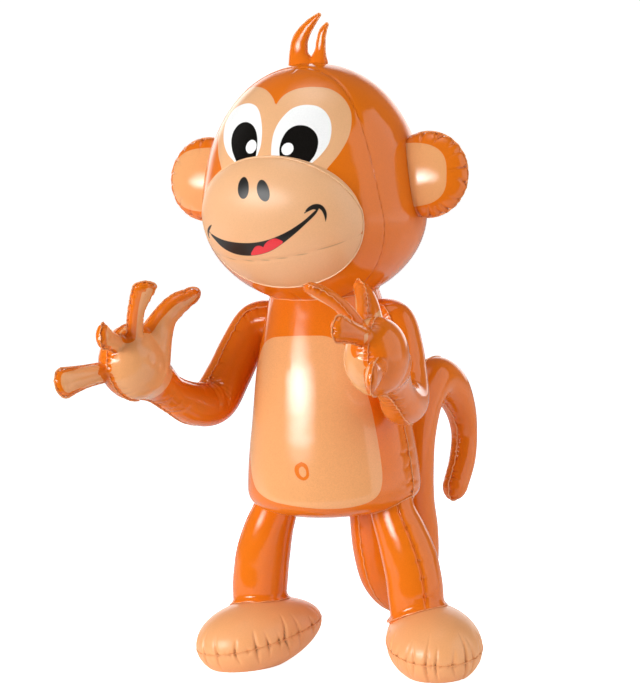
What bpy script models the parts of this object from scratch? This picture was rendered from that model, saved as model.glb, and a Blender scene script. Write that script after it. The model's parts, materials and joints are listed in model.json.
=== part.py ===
"""Inflatable toy monkey: welded glossy vinyl chambers, standing on two flat-bottomed feet.

Lengths are in millimetres. The monkey faces -Y, its left side is +X, and the floor is Z = 0.
Each welded chamber is one closed solid. Neighbours meet face to face with the clearance GAP.
"""
import bpy
import bmesh
from math import cos, radians, sin, tau
from mathutils import Matrix, Vector

MM = 0.001
GAP = 0.3

# Torso: a body of revolution, widest low down and narrowing to the neck
TORSO_BOTTOM = 141.5
TORSO_WIDEST_Z = 168.0
TORSO_RADIUS = 80.0
TORSO_TOP = 354.0
NECK_RADIUS = 45.0
TORSO_TAPER = 1.4
TORSO_BOTTOM_ROUNDNESS = 2.6

# Head: a body of revolution about an axis whose top leans back
HEAD_CENTRE = (0.0, -13.0, 420.0)
HEAD_LEAN = 7.0
HEAD_RADIUS = 102.5
HEAD_ABOVE = 136.5
HEAD_BELOW = 83.0
HEAD_CROWN_ROUNDNESS = 2.15
HEAD_JAW_ROUNDNESS = 1.95

# Muzzle: a dome on the lower front of the head, its middle sunk into the head's front
MUZZLE_SINK = 41.5
MUZZLE_DROP = 2.0
MUZZLE_DIP = 28.6
MUZZLE_HALF_WIDTH = 79.0
MUZZLE_HALF_HEIGHT = 67.8
MUZZLE_DEPTH = 46.2

# Ears: round puffed pads whose middles stand off the sides of the head
EAR_STANDOFF = 9.0
EAR_FORWARD = 6.0
EAR_Z = 452.5
EAR_RADIUS = 38.5
EAR_HALF_THICKNESS = 17.0

# Hair tuft: two flat horns in the plane of the shoulders; each point is x, z and half-width
TUFT_THICKNESS = 0.6
TALL_HORN = ((-8.5, 545.0, 14.5), (-10.5, 558.0, 12.8), (-12.6, 571.0, 8.8), (-7.5, 581.0, 6.8),
             (-0.3, 590.0, 4.6), (8.6, 598.6, 1.6))
SHORT_HORN = ((4.5, 545.0, 11.0), (6.0, 558.0, 9.0), (9.2, 569.0, 5.6), (11.8, 580.0, 4.2),
              (16.8, 589.5, 1.4))

# Arm of the monkey's left side: distance out from the torso's wall at the shoulder, y, height
# above the shoulder and radius along the centreline
SHOULDER_Z = 316.0
ARM_ROUTE = ((-12.5, 11.0, 0.0, 17.0), (1.5, 13.0, 3.0, 19.0), (16.5, 11.0, -1.0, 20.0),
             (27.0, 0.0, -21.0, 20.5), (35.0, -13.0, -44.0, 21.0), (43.0, -31.0, -65.0, 22.0),
             (50.5, -56.0, -64.0, 19.5), (57.5, -83.0, -51.0, 16.0), (61.5, -105.0, -35.0, 18.0))
PALM_CENTRE = (65.1, -134.0, -17.3)
PALM_ALONG = (0.2, -0.75, 0.63)
PALM_INWARD = (-0.93, -0.3, 0.15)
PALM_HALF_LENGTH = 38.0
PALM_HALF_WIDTH = 35.0
PALM_HALF_THICKNESS = 29.0
# Thumb, then the upper, middle and lower finger: points and radii like the arm's
FINGERS = (
    ((54.5, -119.0, -7.0, 12.5), (49.5, -109.0, 10.0, 12.5), (43.5, -97.0, 25.0, 10.5),
     (36.5, -88.0, 34.0, 9.5), (30.0, -80.0, 40.5, 9.0)),
    ((57.5, -146.0, 10.0, 8.5), (45.0, -163.0, 34.0, 9.0), (32.0, -175.0, 48.5, 11.0)),
    ((68.5, -156.0, 3.0, 8.5), (64.0, -180.0, 12.0, 9.0), (60.0, -199.0, 17.0, 11.5)),
    ((75.5, -155.0, -19.0, 8.5), (86.5, -186.0, -20.5, 9.5), (94.0, -210.0, -22.0, 11.5)),
)
# Both arms hang a little towards the monkey's right, and the left hand is held higher
ARM_SWAY = -8.0
HAND_LIFT = 3.5

# Legs: x outward, y, z and radius along the centreline
LEG_ROUTE = ((57.0, -3.0, 168.0, 19.5), (60.0, -4.0, 145.0, 20.5), (68.0, -5.0, 124.0, 23.0),
             (74.0, -5.0, 105.0, 25.0), (77.5, -5.0, 89.0, 25.5), (80.0, -6.0, 68.0, 25.5),
             (81.0, -8.0, 40.0, 23.5))

# Feet: egg-shaped pads with flat soles, toes turned out and down and broader than the heel
FOOT_OUT = 86.0
FOOT_FORWARD = 18.0
FOOT_Z = 27.5
FOOT_SPLAY = 36.0
FOOT_PITCH = 9.0
FOOT_HALF_LENGTH = 63.5
FOOT_HALF_WIDTH = 42.5
FOOT_HALF_HEIGHT = 33.0
FOOT_TAPER = 0.14
# The feet swing towards the monkey's left, and the left one stands further back
FOOT_SWAY = 12.0
FOOT_STAGGER = 4.0

# Tail: distance behind the spine, z and radius along the centreline
TAIL_TURN = 8.0
TAIL_ROUTE = ((55.5, 152.0, 18.0), (56.5, 126.0, 18.5), (60.5, 95.0, 19.0), (72.0, 66.0, 19.0),
              (98.0, 46.0, 19.0), (126.0, 48.0, 18.5), (142.0, 68.0, 18.0), (144.5, 98.0, 18.0),
              (140.0, 130.0, 18.0), (141.0, 162.0, 18.5), (145.5, 193.0, 19.5), (159.0, 225.0, 21.0),
              (184.0, 241.0, 21.5), (211.0, 230.0, 19.5), (230.0, 206.0, 15.5),
              (236.0, 180.0, 13.0), (230.0, 154.0, 13.0), (215.0, 131.0, 12.5))

# Air valve at the back of the torso
VALVE_Z = 262.0
VALVE_COLLAR_RADIUS = 8.0
VALVE_PLUG_RADIUS = 4.5
VALVE_COLLAR_PROUD = 1.2
VALVE_PLUG_PROUD = 3.2
VALVE_ROOT = 6.0

# Facets: sides round a shape, and rings along it or from its middle to a pole
BODY_SIDES = 28
BODY_RINGS = 8
TORSO_BOTTOM_RINGS = 6
MUZZLE_SIDES = 32
EAR_SIDES = 20
EAR_RINGS = 5
PALM_SIDES = 16
PALM_RINGS = 5
ARM_SIDES = 12
FINGER_SIDES = 10
LEG_SIDES = 20
FOOT_SIDES = 24
FOOT_RINGS = 6
TAIL_SIDES = 14
HORN_SIDES = 10
VALVE_SIDES = 24

ORANGE = (0.90, 0.24, 0.028)
TAN = (0.89, 0.54, 0.29)
CLEAR_PLUG = (0.85, 0.80, 0.72)


def material(name, colour, roughness):
    """A glossy vinyl with one colour."""
    made = bpy.data.materials.new(name)
    made.use_nodes = True
    shader = made.node_tree.nodes["Principled BSDF"]
    shader.inputs["Base Color"].default_value = (*colour, 1.0)
    shader.inputs["Roughness"].default_value = roughness
    shader.inputs["Metallic"].default_value = 0.0
    return made


def new_object(name, mesh, skin, parent):
    """Link a mesh as a smooth-shaded object under the monkey's empty."""
    made = bpy.data.objects.new(name, mesh)
    bpy.context.collection.objects.link(made)
    made.data.materials.append(skin)
    made.data.shade_smooth()
    made.parent = parent
    return made


def mesh_of_rings(name, rings, start, end):
    """Close a stack of equal rings with a point at each end."""
    shape = bmesh.new()
    loops = [[shape.verts.new(point * MM) for point in ring] for ring in rings]
    first = shape.verts.new(start * MM)
    last = shape.verts.new(end * MM)
    count = len(rings[0])
    for index in range(count):
        after = (index + 1) % count
        shape.faces.new((first, loops[0][after], loops[0][index]))
        shape.faces.new((last, loops[-1][index], loops[-1][after]))
        for low, high in zip(loops, loops[1:]):
            shape.faces.new((low[index], low[after], high[after], high[index]))
    bmesh.ops.recalc_face_normals(shape, faces=shape.faces)
    mesh = bpy.data.meshes.new(name)
    shape.to_mesh(mesh)
    shape.free()
    return mesh


def turned(name, profile, frame, sides):
    """Turn (radius, height) points about the frame's Z axis, from pole to pole."""
    rings = []
    for radius, height in profile[1:-1]:
        turns = [tau * index / sides for index in range(sides)]
        rings.append([frame @ Vector((radius * cos(a), radius * sin(a), height)) for a in turns])
    start = frame @ Vector((0.0, 0.0, profile[0][1]))
    end = frame @ Vector((0.0, 0.0, profile[-1][1]))
    return mesh_of_rings(name, rings, start, end)


def quarter(radius, height, roundness, steps):
    """A rounded quarter outline from the widest ring to the pole."""
    points = []
    for index in range(steps + 1):
        angle = radians(90.0) * index / steps
        across = radius * max(cos(angle), 0.0) ** (2.0 / roundness)
        points.append((across, height * sin(angle) ** (2.0 / roundness)))
    return points


def egg_profile(radius, above, below, crown, jaw, steps):
    """The outline of an egg from its lower pole to its upper pole."""
    lower = [(across, -up) for across, up in reversed(quarter(radius, below, jaw, steps))]
    return lower + quarter(radius, above, crown, steps)[1:]


def ellipsoid(name, frame, half_sizes, sides, steps):
    """An ellipsoid with the frame's axes."""
    scaled = frame @ Matrix.Diagonal((*half_sizes, 1.0))
    return turned(name, egg_profile(1.0, 1.0, 1.0, 2.0, 2.0, steps), scaled, sides)


def spline_point(points, place):
    """A point of the smooth curve through equally spaced points."""
    last = len(points) - 1
    index = min(int(place), last - 1)
    share = place - index
    before = points[max(index - 1, 0)]
    here = points[index]
    there = points[index + 1]
    after = points[min(index + 2, last)]
    slope_here = (there - before) * 0.5
    slope_there = (after - here) * 0.5
    squared = share * share
    cubed = squared * share
    return (here * (2.0 * cubed - 3.0 * squared + 1.0) + slope_here * (cubed - 2.0 * squared + share)
            + there * (3.0 * squared - 2.0 * cubed) + slope_there * (cubed - squared))


def tube_frames(route, steps):
    """Centres, radii and untwisted cross axes along a route of 4-vectors x, y, z, radius."""
    points = [Vector(point) for point in route]
    count = steps * (len(points) - 1)
    samples = [spline_point(points, index / steps) for index in range(count + 1)]
    centres = [sample.xyz for sample in samples]
    frames = []
    across = None
    for index, centre in enumerate(centres):
        ahead = centres[min(index + 1, count)] - centres[max(index - 1, 0)]
        ahead.normalize()
        if across is None:
            across = ahead.orthogonal()
        across = (across - ahead * across.dot(ahead)).normalized()
        frames.append((centre, samples[index].w, across, ahead.cross(across), ahead))
    return frames


def tube(name, route, sides, steps, start_cap=0.5, end_cap=0.8, cap_steps=3):
    """A round tube along a route, with a rounded cap at each end."""
    frames = tube_frames(route, steps)

    def ring(centre, radius, across, up):
        turns = [tau * index / sides for index in range(sides)]
        return [centre + (across * cos(a) + up * sin(a)) * radius for a in turns]

    rings = []
    centre, radius, across, up, ahead = frames[0]
    for index in range(1, cap_steps):
        angle = radians(90.0) * index / cap_steps
        rings.append(ring(centre - ahead * radius * start_cap * cos(angle), radius * sin(angle), across, up))
    start = centre - ahead * radius * start_cap
    for centre, radius, across, up, ahead in frames:
        rings.append(ring(centre, radius, across, up))
    for index in range(cap_steps - 1, 0, -1):
        angle = radians(90.0) * index / cap_steps
        rings.append(ring(centre + ahead * radius * end_cap * cos(angle), radius * sin(angle), across, up))
    end = centre + ahead * radius * end_cap
    return mesh_of_rings(name, rings, start, end)


def boolean(target, other, operation):
    """Add an exact Boolean of another object, which stays hidden."""
    other.hide_render = True
    other.display_type = 'WIRE'
    change = target.modifiers.new(operation.title(), 'BOOLEAN')
    change.operation = operation
    change.solver = 'EXACT'
    change.object = other


def axes_frame(centre, x_axis, y_axis, z_axis):
    """A frame at a centre with three unit axes."""
    turn = Matrix((x_axis, y_axis, z_axis)).transposed().to_4x4()
    return Matrix.Translation(centre) @ turn


def head_frame():
    """The head's frame: Z along its leaning axis, at its widest ring."""
    return Matrix.Translation(Vector(HEAD_CENTRE)) @ Matrix.Rotation(radians(-HEAD_LEAN), 4, 'X')


def head_mesh(name, grow):
    profile = egg_profile(HEAD_RADIUS + grow, HEAD_ABOVE + grow, HEAD_BELOW + grow,
                          HEAD_CROWN_ROUNDNESS, HEAD_JAW_ROUNDNESS, BODY_RINGS)
    return turned(name, profile, head_frame(), BODY_SIDES)


def torso_wall(z):
    """The torso's radius at a height above its widest ring."""
    share = (z - TORSO_WIDEST_Z) / (TORSO_TOP - TORSO_WIDEST_Z)
    return TORSO_RADIUS - (TORSO_RADIUS - NECK_RADIUS) * share ** TORSO_TAPER


def torso_mesh(name, grow):
    radius = TORSO_RADIUS + grow
    drop = TORSO_WIDEST_Z - TORSO_BOTTOM + grow
    bottom = quarter(radius, drop, TORSO_BOTTOM_ROUNDNESS, TORSO_BOTTOM_RINGS)
    profile = [(across, TORSO_WIDEST_Z - down) for across, down in reversed(bottom)]
    for index in range(1, BODY_RINGS + 1):
        z = TORSO_WIDEST_Z + (TORSO_TOP - TORSO_WIDEST_Z) * index / BODY_RINGS
        profile.append((torso_wall(z) + grow, z))
    profile.append((0.0, TORSO_TOP + grow))
    return turned(name, profile, Matrix.Identity(4), BODY_SIDES)


def foot_frame(side):
    """The foot's frame: -Y to the toe, Z up, at the middle of the foot."""
    heading = Matrix.Rotation(radians(side * FOOT_SPLAY), 4, 'Z')
    pitch = Matrix.Rotation(radians(FOOT_PITCH), 4, 'X')
    centre = (side * FOOT_OUT + FOOT_SWAY, side * FOOT_STAGGER - FOOT_FORWARD, FOOT_Z)
    return Matrix.Translation(centre) @ heading @ pitch


def foot_mesh(name, side, grow):
    """An egg lying from heel to toe, cut off flat at the floor."""
    length = FOOT_HALF_LENGTH + grow
    frame = foot_frame(side)
    lengthwise = Matrix.Rotation(radians(90.0), 4, 'X')
    halves = (FOOT_HALF_WIDTH + grow, FOOT_HALF_HEIGHT + grow, length)
    mesh = ellipsoid(name, lengthwise, halves, FOOT_SIDES, FOOT_RINGS)
    for vertex in mesh.vertices:
        place = vertex.co / MM
        swell = 1.0 - FOOT_TAPER * place.y / length
        vertex.co = frame @ Vector((place.x * swell, place.y, place.z * swell)) * MM
    shape = bmesh.new()
    shape.from_mesh(mesh)
    everything = shape.verts[:] + shape.edges[:] + shape.faces[:]
    bmesh.ops.bisect_plane(shape, geom=everything, plane_co=(0, 0, 0), plane_no=(0, 0, -1), clear_outer=True)
    rim = [edge for edge in shape.edges if edge.is_boundary]
    bmesh.ops.contextual_create(shape, geom=rim)
    bmesh.ops.recalc_face_normals(shape, faces=shape.faces)
    shape.to_mesh(mesh)
    shape.free()
    return mesh


def mirrored(point, side):
    """A point of the left side, or its mirror image on the right side."""
    return Vector((side * point[0], point[1], point[2]))


def arm_point(point, side, share=1.0):
    """A point of the arm or hand, swayed and lifted by its share of the way to the hand."""
    placed = (torso_wall(SHOULDER_Z) + point[0], point[1], SHOULDER_Z + point[2])
    return mirrored(placed, side) + Vector((ARM_SWAY, 0.0, side * HAND_LIFT * share))


def arm_object(side, skin, parent):
    """The arm's tube, its palm and its fingers, joined into one solid."""
    word = "left" if side > 0 else "right"
    reach = len(ARM_ROUTE) - 1
    route = [(*arm_point(point, side, index / reach), point[3]) for index, point in enumerate(ARM_ROUTE)]
    arm = new_object("arm_" + word, tube("arm_" + word, route, ARM_SIDES, 2), skin, parent)
    along = mirrored(PALM_ALONG, side).normalized()
    inward = mirrored(PALM_INWARD, side)
    inward = (inward - along * inward.dot(along)).normalized()
    frame = axes_frame(arm_point(PALM_CENTRE, side), along.cross(inward), inward, along)
    halves = (PALM_HALF_WIDTH, PALM_HALF_THICKNESS, PALM_HALF_LENGTH)
    pad = ellipsoid("palm_" + word, frame, halves, PALM_SIDES, PALM_RINGS)
    palm = new_object("palm_" + word, pad, skin, parent)
    boolean(arm, palm, 'UNION')
    for number, bones in enumerate(FINGERS):
        label = "finger_%d_%s" % (number, word)
        route = [(*arm_point(bone, side), bone[3]) for bone in bones]
        finger = new_object(label, tube(label, route, FINGER_SIDES, 2, end_cap=0.9), skin, parent)
        boolean(arm, finger, 'UNION')
    return arm


def leg_mesh(name, side):
    route = [(*mirrored(point, side), point[3]) for point in LEG_ROUTE]
    return tube(name, route, LEG_SIDES, 1, start_cap=0.2, end_cap=0.2)


def tail_route():
    turn = radians(TAIL_TURN)
    return [(back * sin(turn), back * cos(turn), z, radius) for back, z, radius in TAIL_ROUTE]


def horn_mesh(name, horn):
    """One flattened horn of the tuft."""
    route = [(x, 0.0, z, half_width) for x, z, half_width in horn]
    mesh = tube(name, route, HORN_SIDES, 2, start_cap=0.2, end_cap=1.0)
    mesh.transform(Matrix.Diagonal((1.0, TUFT_THICKNESS, 1.0, 1.0)))
    return mesh


def valve_mesh(name):
    """A flat collar with a round push-in plug, facing backwards."""
    wall = torso_wall(VALVE_Z)
    sunk = wall - VALVE_ROOT
    collar = wall + VALVE_COLLAR_PROUD
    plug = wall + VALVE_PLUG_PROUD
    profile = [(0.0, sunk), (VALVE_COLLAR_RADIUS, sunk), (VALVE_COLLAR_RADIUS, collar),
               (VALVE_PLUG_RADIUS, collar), (VALVE_PLUG_RADIUS, plug), (0.0, plug)]
    frame = Matrix.Translation((0.0, 0.0, VALVE_Z)) @ Matrix.Rotation(radians(-90.0), 4, 'X')
    return turned(name, profile, frame, VALVE_SIDES)


def stand_on_floor_centre(monkey):
    """Move the whole monkey so that its box is centred over the origin."""
    bpy.context.view_layer.update()
    graph = bpy.context.evaluated_depsgraph_get()
    corners = []
    for piece in bpy.data.objects:
        if piece.type == 'MESH' and not piece.hide_render:
            mesh = piece.evaluated_get(graph).to_mesh()
            corners += [piece.matrix_world @ vertex.co for vertex in mesh.vertices]
    lows = [min(corner[axis] for corner in corners) for axis in range(3)]
    highs = [max(corner[axis] for corner in corners) for axis in range(3)]
    monkey.location = (-(lows[0] + highs[0]) / 2, -(lows[1] + highs[1]) / 2, -lows[2])


def build():
    for old in list(bpy.data.objects):
        bpy.data.objects.remove(old, do_unlink=True)
    monkey = bpy.data.objects.new("monkey", None)
    bpy.context.collection.objects.link(monkey)
    orange = material("glossy orange vinyl", ORANGE, 0.22)
    tan = material("glossy tan vinyl", TAN, 0.3)
    clear = material("clear vinyl plug", CLEAR_PLUG, 0.3)

    head_cutter = new_object("head_cutter", head_mesh("head_cutter", GAP), orange, monkey)
    torso_cutter = new_object("torso_cutter", torso_mesh("torso_cutter", GAP), orange, monkey)

    torso = new_object("torso", torso_mesh("torso", 0.0), orange, monkey)
    boolean(torso, head_cutter, 'DIFFERENCE')
    new_object("head", head_mesh("head", 0.0), orange, monkey)

    dip = Matrix.Rotation(radians(MUZZLE_DIP), 4, 'X')
    muzzle_forward = HEAD_RADIUS - MUZZLE_SINK
    muzzle_place = Vector(HEAD_CENTRE) + Vector((0.0, -muzzle_forward, -MUZZLE_DROP))
    muzzle_halves = (MUZZLE_HALF_WIDTH, MUZZLE_DEPTH, MUZZLE_HALF_HEIGHT)
    muzzle_frame = Matrix.Translation(muzzle_place) @ dip
    muzzle_shape = ellipsoid("muzzle", muzzle_frame, muzzle_halves, MUZZLE_SIDES, BODY_RINGS)
    muzzle = new_object("muzzle", muzzle_shape, tan, monkey)
    boolean(muzzle, head_cutter, 'DIFFERENCE')

    tall = new_object("hair_tuft", horn_mesh("hair_tuft", TALL_HORN), orange, monkey)
    short = new_object("short_horn", horn_mesh("short_horn", SHORT_HORN), orange, monkey)
    boolean(tall, short, 'UNION')
    boolean(tall, head_cutter, 'DIFFERENCE')

    tail = new_object("tail", tube("tail", tail_route(), TAIL_SIDES, 2), orange, monkey)
    boolean(tail, torso_cutter, 'DIFFERENCE')
    valve = new_object("valve", valve_mesh("valve"), clear, monkey)
    boolean(valve, torso_cutter, 'DIFFERENCE')

    for side, word in ((1, "left"), (-1, "right")):
        ear_frame = Matrix.Translation((side * (HEAD_RADIUS + EAR_STANDOFF), -EAR_FORWARD, EAR_Z))
        ear_lean = Matrix.Rotation(radians(-HEAD_LEAN), 4, 'X')
        ear_halves = (EAR_RADIUS, EAR_HALF_THICKNESS, EAR_RADIUS)
        ear_shape = ellipsoid("ear_" + word, ear_frame @ ear_lean, ear_halves, EAR_SIDES, EAR_RINGS)
        ear = new_object("ear_" + word, ear_shape, orange, monkey)
        boolean(ear, head_cutter, 'DIFFERENCE')

        arm = arm_object(side, orange, monkey)
        boolean(arm, torso_cutter, 'DIFFERENCE')

        sole_room = foot_mesh("foot_cutter_" + word, side, GAP)
        foot_cutter = new_object("foot_cutter_" + word, sole_room, tan, monkey)
        leg = new_object("leg_" + word, leg_mesh("leg_" + word, side), orange, monkey)
        boolean(leg, torso_cutter, 'DIFFERENCE')
        boolean(leg, foot_cutter, 'DIFFERENCE')
        new_object("foot_" + word, foot_mesh("foot_" + word, side, 0.0), tan, monkey)

    stand_on_floor_centre(monkey)


build()
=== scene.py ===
"""Looks of the inflatable toy monkey: glossy printed vinyl chambers with puckered welds.

Lengths are in millimetres, measured from the body's upright axis and the floor. The monkey
faces -Y and its left side is +X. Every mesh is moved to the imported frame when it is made.
"""
import json
import bpy
import bmesh
import numpy as np
from mathutils import Matrix, Vector
from mathutils.kdtree import KDTree

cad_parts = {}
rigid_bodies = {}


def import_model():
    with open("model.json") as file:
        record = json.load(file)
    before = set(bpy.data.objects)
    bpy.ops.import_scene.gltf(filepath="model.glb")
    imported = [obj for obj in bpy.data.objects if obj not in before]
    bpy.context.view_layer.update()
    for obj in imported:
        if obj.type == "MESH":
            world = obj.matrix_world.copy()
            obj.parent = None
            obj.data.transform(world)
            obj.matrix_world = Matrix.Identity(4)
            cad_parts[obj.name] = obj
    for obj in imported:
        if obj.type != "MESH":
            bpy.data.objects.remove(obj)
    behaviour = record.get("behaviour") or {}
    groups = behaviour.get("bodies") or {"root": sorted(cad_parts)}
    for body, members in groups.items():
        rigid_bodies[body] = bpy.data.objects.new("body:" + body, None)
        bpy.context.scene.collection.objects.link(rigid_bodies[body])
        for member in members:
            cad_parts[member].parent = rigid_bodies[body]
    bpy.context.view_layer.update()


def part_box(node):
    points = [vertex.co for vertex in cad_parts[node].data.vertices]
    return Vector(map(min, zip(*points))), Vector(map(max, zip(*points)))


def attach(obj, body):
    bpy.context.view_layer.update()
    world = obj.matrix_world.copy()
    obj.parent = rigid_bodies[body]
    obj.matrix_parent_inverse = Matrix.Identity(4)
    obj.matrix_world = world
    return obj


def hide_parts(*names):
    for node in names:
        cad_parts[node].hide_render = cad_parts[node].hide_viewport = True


for old in list(bpy.data.objects):
    bpy.data.objects.remove(old)
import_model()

MM = 0.001
torso_low, torso_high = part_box("torso")
BODY_AXIS = np.array([(torso_low.x + torso_high.x) / 2, (torso_low.y + torso_high.y) / 2, 0.0])

# Sizes shared with the solids
TORSO_BOTTOM = 141.5
TORSO_WIDEST_Z = 168.0
TORSO_RADIUS = 80.0
TORSO_TOP = 354.0
NECK_RADIUS = 45.0
TORSO_TAPER = 1.4
TORSO_BOTTOM_ROUNDNESS = 2.6
HEAD_CENTRE = np.array([0.0, -13.0, 420.0])
HEAD_LEAN = 7.0
HEAD_RADIUS = 102.5
HEAD_ABOVE = 136.5
HEAD_BELOW = 83.0
HEAD_CROWN_ROUNDNESS = 2.15
HEAD_JAW_ROUNDNESS = 1.95
MUZZLE_CENTRE = HEAD_CENTRE + np.array([0.0, -61.0, -2.0])
MUZZLE_DIP = 28.6
MUZZLE_HALVES = np.array([79.0, 46.2, 67.8])
EAR_OUT = 111.5
EAR_FORWARD = 6.0
EAR_Z = 452.5
EAR_RADIUS = 38.5
EAR_HALF_THICKNESS = 17.0
TUFT_THICKNESS = 0.6
TALL_HORN = ((-10.5, 545.0, 14.5), (-12.5, 555.0, 13.0), (-14.2, 564.5, 9.2), (-12.4, 576.0, 7.5),
             (-7.2, 584.5, 5.8), (0.3, 592.5, 3.8), (8.0, 598.8, 1.5))
SHORT_HORN = ((4.0, 545.0, 12.0), (5.2, 556.0, 9.4), (7.4, 565.5, 5.2), (8.7, 575.0, 4.0),
              (11.2, 584.0, 3.2), (15.4, 590.0, 1.4))
SHOULDER_OUT = 54.55
ARM_ROUTE = ((-12.5, 11.0, 316.0, 17.0), (1.5, 13.0, 319.0, 19.0), (16.5, 11.0, 315.0, 20.0),
             (27.0, 0.0, 295.0, 20.5), (35.0, -13.0, 272.0, 21.0), (43.0, -31.0, 251.0, 22.0),
             (50.5, -56.0, 252.0, 19.5), (57.5, -83.0, 265.0, 16.5), (61.5, -105.0, 281.0, 20.0),
             (64.0, -123.0, 292.0, 27.0))
PALM_CENTRE = (65.1, -134.0, 298.7)
PALM_ALONG = np.array([0.2, -0.75, 0.63])
PALM_INWARD = np.array([-0.93, -0.3, 0.15])
PALM_HALVES = (34.0, 28.0, 37.0)
ARM_BEND_NORMAL = (-0.883, -0.348, -0.314)
FINGERS = (
    ((56.5, -124.0, 304.0, 21.0), (51.0, -118.0, 324.0, 16.0), (46.5, -108.0, 339.0, 12.0),
     (39.5, -98.0, 349.0, 10.3), (31.5, -89.0, 355.0, 7.5)),
    ((57.5, -146.0, 324.0, 8.0), (45.0, -162.0, 350.0, 7.6), (30.0, -171.0, 368.5, 11.0)),
    ((68.5, -156.0, 319.0, 8.0), (64.0, -180.0, 328.0, 9.0), (60.0, -196.0, 333.0, 11.8)),
    ((75.5, -153.0, 297.0, 8.2), (86.5, -186.0, 295.5, 9.5), (94.5, -209.0, 293.0, 13.2)),
)
# How far the second finger's end lies from its mirror image's place, by side
SECOND_FINGER_LEAN = {"left": (-5.5, -2.8, -3.5), "right": (0.0, 0.0, 4.5)}
# Each finger's inward side, how flat and how long its end is, and the orange borders along both flanks
FINGER_ENDS = (
    ((-0.93, -0.3, 0.15), 0.8, 1.6, (1.5, 11.0)),
    ((-0.75, -0.6, -0.1), 0.5, 0.6, (1.5, 9.0)),
    ((-0.93, -0.3, 0.15), 0.55, 0.75, (3.5, 3.5)),
    ((-0.93, -0.3, 0.15), 0.4, 0.8, (3.0, 1.2)),
)
ARM_SWAY = -8.0
HAND_LIFT = 3.5
LEG_ROUTE = ((57.0, -3.0, 168.0, 19.5), (60.0, -4.0, 145.0, 20.5), (68.0, -5.0, 124.0, 23.0),
             (74.0, -5.0, 105.0, 25.0), (77.5, -5.0, 89.0, 25.5), (80.0, -6.0, 68.0, 25.5),
             (81.0, -8.0, 40.0, 23.5))
FOOT_OUT = 86.0
FOOT_FORWARD = 18.0
FOOT_Z = 27.5
FOOT_SPLAY = 36.0
FOOT_PITCH = 9.0
FOOT_HALVES = np.array([42.5, 63.5, 33.0])
FOOT_TAPER = 0.14
FOOT_SWAY = 12.0
FOOT_STAGGER = 4.0
TAIL_TURN = 8.0
TAIL_ROUTE = ((55.5, 152.0, 18.0), (56.5, 126.0, 18.5), (60.5, 95.0, 19.0), (72.0, 66.0, 19.0),
              (98.0, 46.0, 19.0), (126.0, 48.0, 18.5), (142.0, 68.0, 18.0), (144.5, 98.0, 18.0),
              (140.0, 130.0, 18.0), (141.0, 162.0, 18.5), (145.5, 193.0, 19.5), (159.0, 225.0, 21.0),
              (184.0, 241.0, 21.5), (211.0, 230.0, 19.5), (230.0, 206.0, 15.5),
              (236.0, 180.0, 13.0), (230.0, 154.0, 13.0), (215.0, 131.0, 12.5))
VALVE_Z = 262.0

# Where the torso's film starts to swell, over what height, and how far
SWELL_START_Z = 222
SWELL_RISE = 70
SWELL_OUT = 3.3

# Weld flanges: width proud of the film and thickness of the two films
FLANGE_WIDTH = 2.4
FLANGE_THICKNESS = 0.7
# A distance in millimetres that no piece reaches, and one past the reach of any print
FAR_AWAY = 1e9
OFF_PRINT = 50.0
# The level of every point below the torso
UNDER_TORSO = 99.0


def unit(vectors):
    """Vectors scaled to length one."""
    vectors = np.asarray(vectors, float)
    return vectors / np.maximum(np.linalg.norm(vectors, axis=-1, keepdims=True), 1e-12)


def round_turns(count):
    """Angles evenly spaced round a full turn."""
    return np.linspace(0, 2 * np.pi, count, endpoint=False)


def turn_x(degrees):
    """A turn about X."""
    angle = np.radians(degrees)
    return np.array([[1, 0, 0], [0, np.cos(angle), -np.sin(angle)], [0, np.sin(angle), np.cos(angle)]])


def turn_z(degrees):
    """A turn about Z."""
    angle = np.radians(degrees)
    return np.array([[np.cos(angle), -np.sin(angle), 0], [np.sin(angle), np.cos(angle), 0], [0, 0, 1]])


HEAD_TURN = turn_x(-HEAD_LEAN)
MUZZLE_TURN = turn_x(MUZZLE_DIP)


def smooth_path(points, steps):
    """The smooth curve through equally spaced points."""
    points = np.asarray(points, float)
    last = len(points) - 1
    places = np.linspace(0, last, last * steps + 1)
    index = np.minimum(places.astype(int), last - 1)
    share = (places - index)[:, None]
    before = points[np.maximum(index - 1, 0)]
    here = points[index]
    there = points[index + 1]
    after = points[np.minimum(index + 2, last)]
    slope_here = (there - before) / 2
    slope_there = (after - here) / 2
    square = share ** 2
    cube = share ** 3
    return (here * (2 * cube - 3 * square + 1) + slope_here * (cube - 2 * square + share)
            + there * (3 * square - 2 * cube) + slope_there * (cube - square))


def even_path(points, pitch):
    """The same line with points a fixed pitch apart, measured on the first three columns."""
    steps = np.linalg.norm(np.diff(points[:, :3], axis=0), axis=1)
    along = np.concatenate([[0], np.cumsum(steps)])
    count = max(int(round(along[-1] / pitch)), 2) + 1
    places = np.linspace(0, along[-1], count)
    return np.array([np.interp(places, along, column) for column in points.T]).T


def mesh_from_rings(rings, start, end):
    """Vertices and faces of a stack of rings closed with a point at each end."""
    count, sides = rings.shape[:2]
    points = np.concatenate([rings.reshape(-1, 3), [start], [end]])
    column = np.arange(sides)
    after = (column + 1) % sides
    faces = []
    for row in range(count - 1):
        low = row * sides
        high = low + sides
        faces.append(np.stack([low + column, low + after, high + after, high + column], 1))
    quads = np.concatenate(faces).tolist()
    first = count * sides
    top = (count - 1) * sides
    caps = [(first, int(b), int(a)) for a, b in zip(column, after)]
    caps += [(first + 1, int(top + a), int(top + b)) for a, b in zip(column, after)]
    return points, quads + caps


def joined(shapes):
    """One list of vertices and faces from several."""
    points = []
    faces = []
    offset = 0
    for shape_points, shape_faces in shapes:
        points.append(shape_points)
        faces += [[corner + offset for corner in face] for face in shape_faces]
        offset += len(shape_points)
    return np.concatenate(points), faces


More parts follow.
